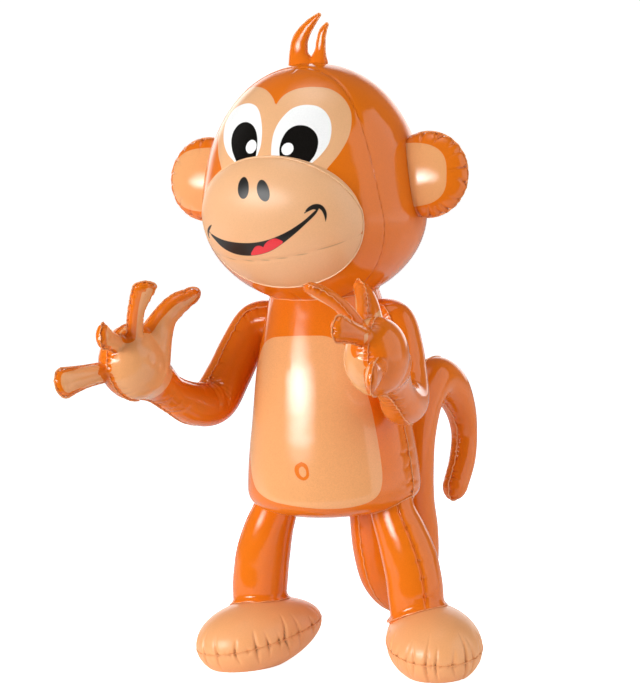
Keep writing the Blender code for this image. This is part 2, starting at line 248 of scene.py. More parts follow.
def mesh_object(name, points, faces, folds=None):
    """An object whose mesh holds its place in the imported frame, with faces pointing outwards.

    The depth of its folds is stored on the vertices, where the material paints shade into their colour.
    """
    mesh = bpy.data.meshes.new(name)
    mesh.from_pydata(((points + BODY_AXIS / MM) * MM).tolist(), [], faces)
    shape = bmesh.new()
    shape.from_mesh(mesh)
    bmesh.ops.recalc_face_normals(shape, faces=shape.faces)
    shape.to_mesh(mesh)
    shape.free()
    mesh.shade_smooth()
    made = bpy.data.objects.new(name, mesh)
    bpy.context.collection.objects.link(made)
    if folds is not None:
        keep_attribute(made, "fold", folds)
    return made


def places_of(piece):
    """The vertices of a piece in millimetres from the body's axis."""
    flat = np.zeros(len(piece.data.vertices) * 3)
    piece.data.vertices.foreach_get("co", flat)
    return flat.reshape(-1, 3) / MM - BODY_AXIS / MM


def keep_attribute(piece, name, values):
    """Store a value per vertex for the material."""
    attribute = piece.data.attributes.new(name, 'FLOAT', 'POINT')
    attribute.data.foreach_set("value", np.asarray(values, np.float32))


def bake(piece):
    """Turn the modifiers of a piece into its mesh."""
    bpy.context.view_layer.update()
    graph = bpy.context.evaluated_depsgraph_get()
    mesh = bpy.data.meshes.new_from_object(piece.evaluated_get(graph))
    piece.modifiers.clear()
    piece.data = mesh
    return piece


def finish_piece(piece, skin, slot, *nodes):
    """Give a piece its material and its body, and hide the solids that it stands for; its slot is not used.
    """
    piece.data.materials.clear()
    piece.data.materials.append(skin)
    piece.data.shade_smooth()
    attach(piece, "root")
    if nodes:
        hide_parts(*nodes)
    return piece


# Puckers: short sharp valleys that run away from a weld, and the groove that runs along it
GROOVE_REACH = 0.9


def pucker_marks(rng, start, end, pitch, depth, reach, width):
    """Places, depths, reaches, widths and slants of puckers about a pitch apart along a weld."""
    marks = []
    place = start + pitch * rng.uniform(0.2, 0.8)
    while place < end:
        marks.append((place, depth * rng.uniform(0.55, 1.15), reach * rng.uniform(0.5, 1.2),
                      width * rng.uniform(0.8, 1.25), rng.uniform(-0.25, 0.25)))
        place += pitch * rng.uniform(0.6, 1.4)
    return marks


def pucker_depth(along, away, marks):
    """How deep the film is drawn in at places along and away from a weld."""
    deepest = np.zeros(np.shape(along))
    for place, depth, reach, width, slant in marks:
        across = np.abs(along - place - slant * away) / width
        near = (across < 6) & (away < reach)
        fade = np.clip(1 - away[near] / reach, 0, 1) ** 1.3
        valley = depth * np.exp(-across[near] ** 1.2) * fade
        deepest[near] = np.maximum(deepest[near], valley)
    return deepest


# Tubes


def tube_line(route, pitch, seam=None, normal=None):
    """Centres, radii and axes along a tube; the side axis points at its first weld."""
    line = even_path(smooth_path(route, 24), pitch)
    centre = line[:, :3]
    ahead = unit(np.gradient(centre, axis=0))
    if seam is None:
        side = unit(np.cross(normal, ahead))
    else:
        side = unit(seam - ahead * (ahead @ seam)[:, None])
    steps = np.linalg.norm(np.diff(centre, axis=0), axis=1)
    return {"centre": centre, "radius": line[:, 3], "ahead": ahead, "side": side,
            "up": np.cross(ahead, side), "along": np.concatenate([[0], np.cumsum(steps)])}


def bend_marks(rng, line, flank, pitch, depth, reach, width, least=0.12):
    """Puckers where the weld on one flank is on the inside of a bend."""
    along = line["along"]
    curving = np.gradient(line["ahead"], along, axis=0)
    squeeze = np.clip((curving * line["side"]).sum(1) * flank * line["radius"], 0, 1)
    marks = []
    for mark in pucker_marks(rng, 0, along[-1], pitch, 1, 1, width):
        here = np.interp(mark[0], along, squeeze)
        radius = np.interp(mark[0], along, line["radius"])
        if here > least:
            size = min(here * 2.2, 1.0)
            marks.append((mark[0], depth * size * mark[1], reach * radius * size * mark[2], mark[3], mark[4]))
    return marks


def tube_skin(line, sides, marks, start_cap=0.5, end_cap=0.8, flat=1.0, groove=0.0):
    """A round tube with capped ends, puckers along its two welds and the folds' depth at every vertex.

    The caps' lengths are shares of the radius, and flat is the tube's depth by its width.
    """
    radius = line["radius"]
    depth = flat + 0 * radius
    angles = np.radians(np.linspace(0, 90, 16)[1:])
    last = len(radius) - 1
    rows = [(0, np.sin(a), -start_cap * np.cos(a)) for a in angles[:-1]]
    rows += [(index, 1.0, 0.0) for index in range(last + 1)]
    rows += [(last, np.sin(a), end_cap * np.cos(a)) for a in angles[::-1][1:]]
    index = np.array([row[0] for row in rows])
    ring = np.array([row[1] for row in rows])[:, None]
    forward = np.array([row[2] for row in rows])[:, None]
    turns = round_turns(sides)[None, :]
    across = ring * np.cos(turns)
    rise = ring * np.sin(turns)
    forward = forward + 0 * turns
    size = radius[index][:, None]
    direction = (line["side"][index][:, None] * across[..., None]
                 + line["up"][index][:, None] * rise[..., None] * depth[index][:, None, None]
                 + line["ahead"][index][:, None] * forward[..., None])
    length = np.sqrt(across ** 2 + rise ** 2 + forward ** 2)
    away = size * np.arcsin(np.clip(np.abs(rise) / length, 0, 1))
    swing = np.arctan2(np.abs(forward), np.abs(across) + 1e-9) * np.sign(forward)
    along = line["along"][index][:, None] + size * swing
    drawn = np.zeros(along.shape)
    for flank, flank_marks in marks.items():
        here = (across * flank >= 0)
        drawn[here] = pucker_depth(along[here], away[here], flank_marks)
    drawn += groove * np.exp(-away / GROOVE_REACH)
    points = line["centre"][index][:, None] + direction * (size - drawn)[..., None]
    start = line["centre"][0] - line["ahead"][0] * radius[0] * start_cap
    end = line["centre"][-1] + line["ahead"][-1] * radius[-1] * end_cap
    points, faces = mesh_from_rings(points, start, end)
    return points, faces, np.concatenate([drawn.ravel(), [0, 0]])


def tube_outline(line, end_cap=0.8, tip_steps=14):
    """The welds of a tube: along one flank, round the tip and back, with outward directions."""
    centre, radius = line["centre"], line["radius"][:, None]
    swings = np.linspace(0, np.pi, tip_steps + 2)[1:-1, None]
    side, ahead = line["side"][-1], line["ahead"][-1]
    tip = centre[-1] + radius[-1] * (side * np.cos(swings) + ahead * end_cap * np.sin(swings))
    points = np.concatenate([centre + line["side"] * radius, tip, (centre - line["side"] * radius)[::-1]])
    outward = np.concatenate([line["side"], unit(side * np.cos(swings) + ahead * np.sin(swings)),
                              -line["side"][::-1]])
    return points, outward


def tube_level(points, line):
    """How far points are outside a tube, in millimetres; negative is inside."""
    nearest = np.full(len(points), FAR_AWAY)
    for centre, radius in zip(line["centre"][::2], line["radius"][::2]):
        nearest = np.minimum(nearest, np.linalg.norm(points - centre, axis=1) - radius)
    return nearest


def nearest_seam(points, seam_points):
    """For every point the index of the nearest seam point and the distance to it."""
    tree = KDTree(len(seam_points))
    for number, spot in enumerate(seam_points):
        tree.insert(spot, number)
    tree.balance()
    found = [tree.find(point)[1:] for point in points]
    return np.array([item[0] for item in found]), np.array([item[1] for item in found])


# Heads, torsos and pads


def rib(distance, depth, width):
    """A smooth rounded ridge or groove across a line."""
    return depth * np.exp(-(distance / width) ** 2)


def rounded_outline(radius, height, roundness, pitch):
    """A rounded quarter outline from the widest ring to the pole, evenly spaced."""
    angle = np.linspace(0, np.pi / 2, 1500)
    across = radius * np.cos(angle).clip(0) ** (2 / roundness)
    up = height * np.sin(angle) ** (2 / roundness)
    return even_path(np.stack([across, up, 0 * up], 1), pitch)[:, :2]


def head_level(points):
    """Above zero outside the head, below zero inside."""
    local = (points - HEAD_CENTRE) @ HEAD_TURN
    across = np.hypot(local[:, 0], local[:, 1]) / HEAD_RADIUS
    up = local[:, 2]
    above = across ** HEAD_CROWN_ROUNDNESS + (up.clip(0) / HEAD_ABOVE) ** HEAD_CROWN_ROUNDNESS
    below = across ** HEAD_JAW_ROUNDNESS + ((-up).clip(0) / HEAD_BELOW) ** HEAD_JAW_ROUNDNESS
    return np.where(up >= 0, above, below) - 1


def head_ring_radius(up):
    """The head's radius at heights along its own axis."""
    above = (1 - (up.clip(0) / HEAD_ABOVE).clip(0, 1) ** HEAD_CROWN_ROUNDNESS) ** (1 / HEAD_CROWN_ROUNDNESS)
    below = (1 - ((-up).clip(0) / HEAD_BELOW).clip(0, 1) ** HEAD_JAW_ROUNDNESS) ** (1 / HEAD_JAW_ROUNDNESS)
    return HEAD_RADIUS * np.where(up >= 0, above, below)


def torso_wall(z):
    """The torso's radius at a height."""
    share = ((z - TORSO_WIDEST_Z) / (TORSO_TOP - TORSO_WIDEST_Z)).clip(0)
    upper = TORSO_RADIUS - (TORSO_RADIUS - NECK_RADIUS) * share ** TORSO_TAPER
    drop = ((TORSO_WIDEST_Z - z) / (TORSO_WIDEST_Z - TORSO_BOTTOM)).clip(0, 1)
    lower = TORSO_RADIUS * (1 - drop ** TORSO_BOTTOM_ROUNDNESS) ** (1 / TORSO_BOTTOM_ROUNDNESS)
    return np.where(z >= TORSO_WIDEST_Z, upper, lower)


def torso_swell(z):
    """How far the air pushes the torso's film out beyond the plain cone."""
    share = ((z - SWELL_START_Z) / SWELL_RISE).clip(0, 1)
    return SWELL_OUT * share ** 2 * (3 - 2 * share)


def torso_level(points):
    """Above zero outside the torso, below zero inside."""
    reach = np.hypot(points[:, 0], points[:, 1])
    outside = reach - torso_wall(points[:, 2]) - torso_swell(points[:, 2])
    return np.where(points[:, 2] < TORSO_BOTTOM, UNDER_TORSO, outside)


def pad_skin(place, halves, marks, sides, pitch, shape=None, groove=0.0):
    """A puffed pad whose weld lies in its own XY plane, with the folds' depth at every vertex."""
    sweep = np.linspace(0, np.pi, int(np.pi * max(halves[:2]) / pitch))[1:-1]
    # Rings crowd together at the weld, where the puckers are
    sweep = sweep + 0.18 * np.sin(2 * sweep)
    turns = round_turns(sides)
    flat = np.sin(sweep)[:, None]
    rise = np.cos(sweep)[:, None] + 0 * turns
    x = flat * np.cos(turns)
    y = flat * np.sin(turns)
    mean = (halves[0] + halves[1]) / 2
    along = turns[None, :] * mean + 0 * rise
    away = np.abs(np.arcsin(rise.clip(-1, 1))) * (mean + halves[2]) / 2
    folds = pucker_depth(along, away, marks) + groove * np.exp(-away / GROOVE_REACH)
    local = np.stack([x * halves[0], y * halves[1], rise * halves[2]], -1)
    local = local - unit(local / np.square(halves)) * folds[..., None]
    start, end = np.array([0, 0, halves[2]]), np.array([0, 0, -halves[2]])
    if shape is not None:
        local = shape(local)
        start = shape(start)
        end = shape(end)
    turn, centre = place
    points, faces = mesh_from_rings(local @ turn.T + centre, start @ turn.T + centre, end @ turn.T + centre)
    return points, faces, np.concatenate([folds.ravel(), [0, 0]])


def meeting_ring(centre_line, radius, side, up, level, count=120):
    """Where a tube's film meets another chamber, with outward directions from its own axis."""
    points, outward = [], []
    for turn in round_turns(count):
        direction = np.broadcast_to(side * np.cos(turn) + up * np.sin(turn), centre_line.shape)
        track = centre_line + direction * radius[:, None]
        value = level(track)
        crossing = np.nonzero((value[:-1] < 0) != (value[1:] < 0))[0]
        if len(crossing) == 0:
            continue
        here = crossing[0]
        share = value[here] / (value[here] - value[here + 1])
        points.append(track[here] * (1 - share) + track[here + 1] * share)
        outward.append(direction[here])
    return np.array(points), np.array(outward)


# Flat prints: signed distances to outlines drawn in millimetres


def outline(*stretches):
    """A closed outline from smooth stretches that meet in corners."""
    return np.concatenate([smooth_path(stretch, 8)[:-1] if len(stretch) > 2 else
                           np.asarray(stretch, float)[:-1] for stretch in stretches])


def ring_of(x, y, half_x, half_y, lean=0.0, count=48, squareness=1.0):
    """A leaning ellipse as an outline; less than one makes its corners fuller."""
    turns = round_turns(count)
    angle = np.radians(lean)
    across, up = np.cos(turns), np.sin(turns)
    flat = np.stack([half_x * np.sign(across) * np.abs(across) ** squareness,
                     half_y * np.sign(up) * np.abs(up) ** squareness], 1)
    turn = np.array([[np.cos(angle), np.sin(angle)], [-np.sin(angle), np.cos(angle)]])
    return flat @ turn + (x, y)


def print_distance(points, shape):
    """Millimetres from points in a plane to a closed outline; negative is inside."""
    nearest = np.full(len(points), FAR_AWAY)
    inside = np.zeros(len(points), bool)
    for start, end in zip(shape, np.roll(shape, -1, axis=0)):
        edge = end - start
        offset = points - start
        share = np.clip(offset @ edge / max(edge @ edge, 1e-12), 0, 1)
        nearest = np.minimum(nearest, np.hypot(*(offset - share[:, None] * edge).T))
        crosses = (start[1] > points[:, 1]) != (end[1] > points[:, 1])
        if edge[1]:
            reach = start[0] + (points[:, 1] - start[1]) * edge[0] / edge[1]
            inside ^= crosses & (points[:, 0] < reach)
    return np.where(inside, -nearest, nearest)


def prints_distance(points, shapes):
    """The distance to the nearest of several outlines."""
    return np.min([print_distance(points, shape) for shape in shapes], axis=0)


# Face prints in the head's own x and height
HEART = outline(
    ((-0.3, 92), (1.5, 97.5), (5.3, 102.8), (12.6, 107.1), (20.4, 108.9), (29.2, 109.3), (39.6, 107.9),
     (49.4, 102.4), (57.1, 94.4), (62.5, 84.5), (65.1, 72.5), (64.6, 60.7), (60.9, 48.9), (55.7, 39.2),
     (46, 24)),
    ((46, 24), (-44, 24)),
    ((-44, 24), (-53, 41), (-57, 47.5), (-61, 56), (-64.2, 64), (-66.5, 76), (-66, 88), (-61, 99),
     (-53, 107.5), (-44, 111.5), (-33.2, 112.2), (-20.9, 109.3), (-12.1, 104.7), (-4.9, 98.6), (-0.3, 92)))
EYE_WHITES = (
    outline(((6.5, 36), (4.6, 47.5), (3.7, 56.8), (4, 66.5), (6.3, 75.3), (10.6, 83.1), (15.9, 89),
             (22.7, 91.9), (29.8, 92.4), (37.2, 90.9), (44.3, 85.9), (49.7, 78), (52.3, 68.2),
             (52.1, 57.5), (48.2, 48.7), (43, 41.9), (36, 36)), ((36, 36), (6.5, 36))),
    outline(((-27, 36), (-34.3, 42.5), (-44, 49.8), (-51.7, 59.1), (-56.7, 69.4), (-58.2, 79.7),
             (-54.6, 88.6), (-47.1, 94.1), (-33.9, 96.1), (-23, 93.4), (-15.6, 87), (-10.3, 76.8),
             (-7.6, 66.8), (-7, 55.1), (-10, 45), (-14, 36)), ((-14, 36), (-27, 36))))
PUPILS = (
    outline(((14.5, 36), (12.6, 46.9), (11.7, 52.8), (12.6, 60.5), (15.8, 68.2), (20.8, 72.5),
             (26.2, 73.8), (32.7, 72.8), (38.7, 68.9), (42.7, 63.2), (44.1, 56.4), (43.2, 48.7),
             (40.4, 42.9), (35, 36)),
            ((35, 36), (14.5, 36))),
    outline(((-28, 36), (-33.2, 44.4), (-38.8, 52.5), (-42.4, 62.5), (-41.8, 70.4), (-36.8, 76.5),
             (-28.4, 78.4), (-19.8, 75.2), (-14.2, 69), (-11.2, 61.1), (-10.5, 53.3), (-11, 44),
             (-13.5, 36)),
            ((-13.5, 36), (-28, 36))))
GLINTS = (ring_of(-17, 55.4, 5.8, 6.2), ring_of(19, 52.5, 5.4, 5.6))

# Muzzle prints in the muzzle's own x and height
NOSTRILS = (ring_of(-14.5, 52.8, 5.9, 7.2), ring_of(5.6, 51.2, 5.4, 8.2, 32))
MOUTH = outline(
    ((-62.8, 8.7), (-52.7, 7.0), (-42.2, 6.1), (-27.3, 6.3), (-13.2, 7.3), (0.5, 9.5), (13.9, 13.2),
     (26.8, 17.9), (39.1, 23.6), (47, 28.2), (54.2, 32.6)),
    ((54.2, 32.6), (50.2, 27.1), (40.4, 20.4), (29.8, 13.4), (18.3, 6.4), (6.3, -0.2), (-5.6, -4.3),
     (-17.5, -6.6), (-29.5, -7.3), (-38.9, -6.2), (-48.1, -3.0), (-56, 3), (-62.8, 8.7)))
RIGHT_TICK = outline(((40.2, 29.4), (43.7, 33.3), (48.1, 34.9), (52.3, 34.2), (55.8, 31.5), (58, 27),
                      (58.3, 22.5), (56.7, 17.5)),
                     ((56.7, 17.5), (56.4, 23), (54.9, 28), (52.5, 30.8), (49.5, 31.3), (45.5, 30.9),
                      (40.2, 29.4)))
LEFT_TICK = outline(((-54.2, 18.3), (-60, 14.3), (-64.6, 7.9), (-65.8, 2), (-62.7, -1.2)),
                    ((-62.7, -1.2), (-64, 2.5), (-62.4, 7.5), (-58.6, 12.6), (-54.2, 18.3)))
TONGUE = outline(((-17.6, -8), (-16.2, -4), (-13.8, -0.8), (-9.9, 3.3), (-6.2, 4.7), (-3.1, 4.1),
                  (-1.8, 2.7)),
                 ((-1.8, 2.7), (0.7, 6.3), (5.9, 10), (11.4, 11.5), (16.1, 9.8), (20.5, 6)),
                 ((20.5, 6), (0, -12), (-17.6, -8)))

# Belly print: degrees round the torso from the front, and height
BELLY = outline(
    ((2.2, 313.2), (21.9, 312.6), (31.2, 309.6), (38.5, 305), (45, 297), (50, 283), (54, 263),
     (57.2, 243), (58.7, 221), (59.5, 198), (59.2, 182), (56.6, 170.2), (51.7, 164), (44.6, 160.3),
     (32.6, 158.1), (17.4, 158.3), (3.6, 160), (-7.5, 161.8), (-17.9, 163.7), (-27.7, 167.1),
     (-37.4, 172.6), (-44, 181.1), (-50.5, 193.7), (-57, 210.7), (-60, 232), (-60, 258), (-57.5, 280),
     (-51, 297), (-43, 305), (-32, 309.8), (-17.9, 312), (2.2, 313.2)))
NAVEL = outline(((4.1, 201.3), (-0.3, 197.5), (-0.6, 191.6), (1.9, 186.5), (6.0, 184.5), (9.1, 187.5),
                 (9.3, 193.2), (7.8, 198.8), (4.1, 201.3)))
NAVEL_HOLE = outline(((4.9, 197.6), (2.5, 195.1), (2.8, 190.4), (5.3, 187.3), (7.3, 189.2), (7.2, 193.8),
                      (4.9, 197.6)))


# Node trees


def add(tree, kind, inputs=None, output=0, **settings):
    """Add a node with its settings and give one of its outputs, or the node where output is None.

    An input is a value or the socket that feeds it.
    """
    node = tree.nodes.new(kind)
    for name, value in settings.items():
        setattr(node, name, value)
    for name, value in (inputs or {}).items():
        if isinstance(value, bpy.types.NodeSocket):
            tree.links.new(value, node.inputs[name])
        else:
            node.inputs[name].default_value = value
    return node if output is None else node.outputs[output]


def srgb(code):
    """A linear colour from an sRGB hex value."""
    parts = [int(code[place:place + 2], 16) / 255 for place in (1, 3, 5)]
    return (*[part / 12.92 if part <= 0.04045 else ((part + 0.055) / 1.055) ** 2.4 for part in parts], 1.0)


def flange_tree():
    """Geometry nodes that sweep a thin crimped strip along a weld."""
    tree = bpy.data.node_groups.new("weld flange", 'GeometryNodeTree')
    tree.interface.new_socket("Geometry", in_out='INPUT', socket_type='NodeSocketGeometry')
    for name in ("Width", "Thickness", "Root", "Crimp", "Pitch", "Seed"):
        tree.interface.new_socket(name, in_out='INPUT', socket_type='NodeSocketFloat')
    tree.interface.new_socket("Material", in_out='INPUT', socket_type='NodeSocketMaterial')
    tree.interface.new_socket("Geometry", in_out='OUTPUT', socket_type='NodeSocketGeometry')
    given = add(tree, "NodeGroupInput", output=None).outputs
    outward = add(tree, "GeometryNodeInputNamedAttribute", {"Name": "outward"}, data_type='FLOAT_VECTOR')
    curve = add(tree, "GeometryNodeMeshToCurve", {"Mesh": given["Geometry"]})
    curve = add(tree, "GeometryNodeSetCurveNormal", {"Curve": curve, "Normal": outward}, mode='FREE')
    length = add(tree, "GeometryNodeSplineParameter", output="Length")
    curve = add(tree, "GeometryNodeStoreNamedAttribute",
                {"Geometry": curve, "Name": "along", "Value": length}, data_type='FLOAT')
    tangent = add(tree, "GeometryNodeInputTangent")
    curve = add(tree, "GeometryNodeStoreNamedAttribute",
                {"Geometry": curve, "Name": "lengthwise", "Value": tangent}, data_type='FLOAT_VECTOR')
    profile = add(tree, "GeometryNodeCurvePrimitiveQuadrilateral",
                  {"Width": given["Width"], "Height": given["Thickness"]})
    half = add(tree, "ShaderNodeMath", {0: given["Width"], 1: 0.5}, operation='MULTIPLY')
    shift = add(tree, "ShaderNodeMath", {0: half, 1: given["Root"]}, operation='SUBTRACT')
    place = add(tree, "ShaderNodeCombineXYZ", {"X": shift})
    profile = add(tree, "GeometryNodeSetPosition", {"Geometry": profile, "Offset": place})
    strip = add(tree, "GeometryNodeCurveToMesh",
                {"Curve": curve, "Profile Curve": profile, "Fill Caps": True})
    along = add(tree, "GeometryNodeInputNamedAttribute", {"Name": "along"}, data_type='FLOAT')
    lengthwise = add(tree, "GeometryNodeInputNamedAttribute", {"Name": "lengthwise"},
                     data_type='FLOAT_VECTOR')
    sideways = add(tree, "ShaderNodeVectorMath", {0: lengthwise, 1: outward}, operation='CROSS_PRODUCT')
    turns = add(tree, "ShaderNodeMath", {0: along, 1: given["Pitch"]}, operation='DIVIDE')
    turns = add(tree, "ShaderNodeMath", {0: turns, 1: given["Seed"]}, operation='ADD')
    noise = add(tree, "ShaderNodeTexNoise", {"W": turns, "Scale": 1.0, "Detail": 1.0}, noise_dimensions='1D')
    swing = add(tree, "ShaderNodeMapRange", {0: noise, 1: 0.3, 2: 0.7, 3: -1.0, 4: 1.0})
    swing = add(tree, "ShaderNodeMath", {0: swing, 1: given["Crimp"]}, operation='MULTIPLY')
    offset = add(tree, "ShaderNodeVectorMath", {0: sideways, "Scale": swing}, operation='SCALE')
    strip = add(tree, "GeometryNodeSetPosition", {"Geometry": strip, "Offset": offset})
    strip = add(tree, "GeometryNodeRealizeInstances", {"Geometry": strip})
    strip = add(tree, "GeometryNodeSetMaterial", {"Geometry": strip, "Material": given["Material"]})
    add(tree, "NodeGroupOutput", {"Geometry": strip}, output=None)
    return tree


FLANGE_TREE = flange_tree()


def weld(name, runs, skin, slot, width=FLANGE_WIDTH, thickness=FLANGE_THICKNESS, crimp=0.3, pitch=6.0,
         root=0.8, seed=1.0):
    """A weld flange along runs of points with outward directions; a run may be a closed loop.

    The root is how much of the width is sunk in the film, and the crimp swings it sideways over a pitch.
    """
    points, outward, edges = [], [], []
    for run_points, run_outward, keep, closed in runs:
        offset = sum(len(part) for part in points)
        count = len(run_points)
        steps = range(count if closed else count - 1)
        edges += [(offset + step, offset + (step + 1) % count) for step in steps
                  if keep[step] and keep[(step + 1) % count]]
        points.append(run_points)
        outward.append(run_outward)
    points = np.concatenate(points)
    outward = unit(np.concatenate(outward))
    used = sorted({corner for edge in edges for corner in edge})
    number = {old: new for new, old in enumerate(used)}
    mesh = bpy.data.meshes.new(name)
    mesh.from_pydata(((points[used] + BODY_AXIS / MM) * MM).tolist(),
                     [(number[a], number[b]) for a, b in edges], [])
    attribute = mesh.attributes.new("outward", 'FLOAT_VECTOR', 'POINT')
    attribute.data.foreach_set("vector", outward[used].astype(np.float32).ravel())
    piece = bpy.data.objects.new(name, mesh)
    bpy.context.collection.objects.link(piece)
    nodes = piece.modifiers.new("weld flange", 'NODES')
    nodes.node_group = FLANGE_TREE
    sizes = {"Width": width * MM, "Thickness": thickness * MM, "Root": root * MM, "Crimp": crimp * MM,
             "Pitch": pitch * MM, "Seed": seed, "Material": skin}
    for item in FLANGE_TREE.interface.items_tree:
        if item.in_out == 'INPUT' and item.name in sizes:
            nodes[item.identifier] = sizes[item.name]
    bake(piece)
    return finish_piece(piece, skin, slot)


def whole(points, outward, closed=False):
    """A run of weld with every point kept."""
    return points, outward, np.ones(len(points), bool), closed


# Materials: soft glossy PVC film, printed on its outer side


# How dark the painted shade in the deepest folds makes the film's colour
FOLD_SHADE = 0.45


def vinyl(name, film, prints=(), roughness=0.11, wave=1.0, speckle=0.03):
    """Calendered PVC film: an even ink colour, a soft gloss and the long waves of film under air pressure.

    A print is a pair of an attribute in millimetres, below zero inside the print, and an ink.
    """
    made = bpy.data.materials.new(name)
    made.use_nodes = True
    tree = made.node_tree
    shader = tree.nodes["Principled BSDF"]
    place = add(tree, "ShaderNodeTexCoord", output="Object")
    colour = add(tree, "ShaderNodeRGB")
    colour.default_value = srgb(film)
    # Ink edges are about 0.4 mm soft
    for attribute, ink in prints:
        edge = add(tree, "ShaderNodeAttribute", output="Fac", attribute_name=attribute)
        share = add(tree, "ShaderNodeMapRange", {0: edge, 1: 0.2, 2: -0.2, 3: 0.0, 4: 1.0})
        colour = add(tree, "ShaderNodeMix", {0: share, 6: colour, 7: srgb(ink)}, output=2, data_type='RGBA')
    # Painted shade: the colour darkens with the fold's depth, where light dies away in the bottom of a fold
    fold = add(tree, "ShaderNodeAttribute", output="Fac", attribute_name="fold")
    fold = add(tree, "ShaderNodeMapRange", {0: fold, 1: 1.3, 2: 3.6, 3: 1.0, 4: FOLD_SHADE})
    colour = add(tree, "ShaderNodeVectorMath", {0: colour, "Scale": fold}, operation='SCALE')
    # Ink dots of about 1.2 mm, drawn coarser than the real 0.3 mm so that they show
    dots = add(tree, "ShaderNodeTexNoise", {"Vector": place, "Scale": 1 / 0.0012, "Detail": 2.0})
    tone = add(tree, "ShaderNodeMapRange", {0: dots, 1: 0.3, 2: 0.7, 3: 1 - speckle, 4: 1 + speckle})
    colour = add(tree, "ShaderNodeVectorMath", {0: colour, "Scale": tone}, operation='SCALE')
    tree.links.new(colour, shader.inputs["Base Color"])
    # Long waves of about 22 mm and a fine ripple of 5 mm in the tight film
    long_wave = add(tree, "ShaderNodeTexNoise", {"Vector": place, "Scale": 1 / 0.022, "Detail": 1.0})
    ripple = add(tree, "ShaderNodeTexNoise", {"Vector": place, "Scale": 1 / 0.005, "Detail": 1.0})
    height = add(tree, "ShaderNodeMath", {0: ripple, 1: 0.06, 2: long_wave}, operation='MULTIPLY_ADD')
    bump = add(tree, "ShaderNodeBump", {"Strength": 1.0, "Distance": 0.0006 * wave, "Height": height})
    tree.links.new(bump, shader.inputs["Normal"])
    smudge = add(tree, "ShaderNodeTexNoise", {"Vector": place, "Scale": 1 / 0.03, "Detail": 3.0})
    gloss = add(tree, "ShaderNodeMapRange",
                {0: smudge, 1: 0.3, 2: 0.7, 3: roughness * 0.85, 4: roughness * 1.2})
    tree.links.new(gloss, shader.inputs["Roughness"])
    shader.inputs["IOR"].default_value = PVC_IOR
    return made


ORANGE = "#E67414"
TAN = "#EDA86E"
FACE_TAN = "#EDB584"
# Weld edges: paler colours, painted light for the light that comes through the thin pressed films
ORANGE_EDGE = "#F3A468"
TAN_EDGE = "#F6C79A"
WHITE_INK = "#FBFBFA"
PUPIL_INK = "#141210"
GLINT_INK = "#FFFFFF"
MOUTH_INK = "#171412"
TONGUE_INK = "#E8323C"
UNPRINTED = "#E9E2D6"
PVC_IOR = 1.53

# Calendered film with a full coat of orange ink: an even colour with long mirror-like streaks of light
orange_film = vinyl("orange printed PVC film", ORANGE)
# The same film with the face in flat spot colours, white and black under the one gloss
head_film = vinyl("orange PVC film with a face print", ORANGE,
                  (("heart", FACE_TAN), ("eye_white", WHITE_INK), ("pupil", PUPIL_INK), ("glint", GLINT_INK)))
# Tan ink with a satin surface: the light spreads into one broad soft patch on the dome
muzzle_film = vinyl("tan PVC film with a mouth print", FACE_TAN,
                    (("nostril", MOUTH_INK), ("mouth", MOUTH_INK), ("tongue", TONGUE_INK)),
                    roughness=0.36, wave=0.5)
# Taut film under the torso's pressure: few waves, so the belly's streak of light runs straight
torso_film = vinyl("orange PVC film with a belly print", ORANGE,
                   (("belly", TAN), ("navel", ORANGE), ("navel_hole", TAN)), speckle=0.05, wave=0.4)
# Glossy film with a tan patch on the ear's front
ear_film = vinyl("orange PVC film with a tan ear print", ORANGE, (("patch", TAN),))
# Glossy film with tan palms and finger faces inside an orange border
hand_film = vinyl("orange PVC film with a tan palm print", ORANGE, (("palm", TAN),))
# Embossed film: a dull tan with no clear reflections
foot_film = vinyl("matte tan PVC film", TAN, roughness=0.33, wave=0.6)
# Two films pressed into one: thin and a little rougher, with a paler colour painted in for the light that
# comes through them
orange_edge = vinyl("orange PVC weld edge", ORANGE_EDGE, roughness=0.2, wave=0.2)
tan_edge = vinyl("tan PVC weld edge", TAN_EDGE, roughness=0.2, wave=0.2)
# Soft moulded PVC without ink: milky and half see-through
clear_vinyl = vinyl("clear PVC valve", UNPRINTED, roughness=0.2, wave=0.2, speckle=0.0)
clear_vinyl.node_tree.nodes["Principled BSDF"].inputs["Transmission Weight"].default_value = 0.6

rng = np.random.default_rng(7)


# Head: steps along its outline and round it, its butt welds' depth and width, and the depth and width of
# the painted shade that the material draws along the front one, as if that weld were a deep fold
HEAD_PITCH = 2.3
HEAD_STEPS = 300
BUTT_WELD = (0.7, 1.3)
BUTT_WELD_SHADE = (2.3, 1.0)
BACK_SEAM_START_Y = -47
PRINT_END_Y = -17


def head_outline(pitch):
    """The head's outline from its lower pole to its upper one, as radius and height."""
    lower = rounded_outline(HEAD_RADIUS, HEAD_BELOW, HEAD_JAW_ROUNDNESS, pitch)[::-1] * (1, -1)
    upper = rounded_outline(HEAD_RADIUS, HEAD_ABOVE, HEAD_CROWN_ROUNDNESS, pitch)
    return np.concatenate([lower, upper[1:]])


def head_panel_y(up):
    """How far forward the front panel's weld runs, by height along the head's own axis: a shallow bow."""
    return -48.5 - 0.25 * up + 0.0027 * up ** 2


profile = head_outline(HEAD_PITCH)
turns = round_turns(HEAD_STEPS)
ring_radius = profile[1:-1, 0][:, None]
ring_height = profile[1:-1, 1][:, None]
local = np.stack([ring_radius * np.cos(turns), ring_radius * np.sin(turns), ring_height + 0 * turns], -1)
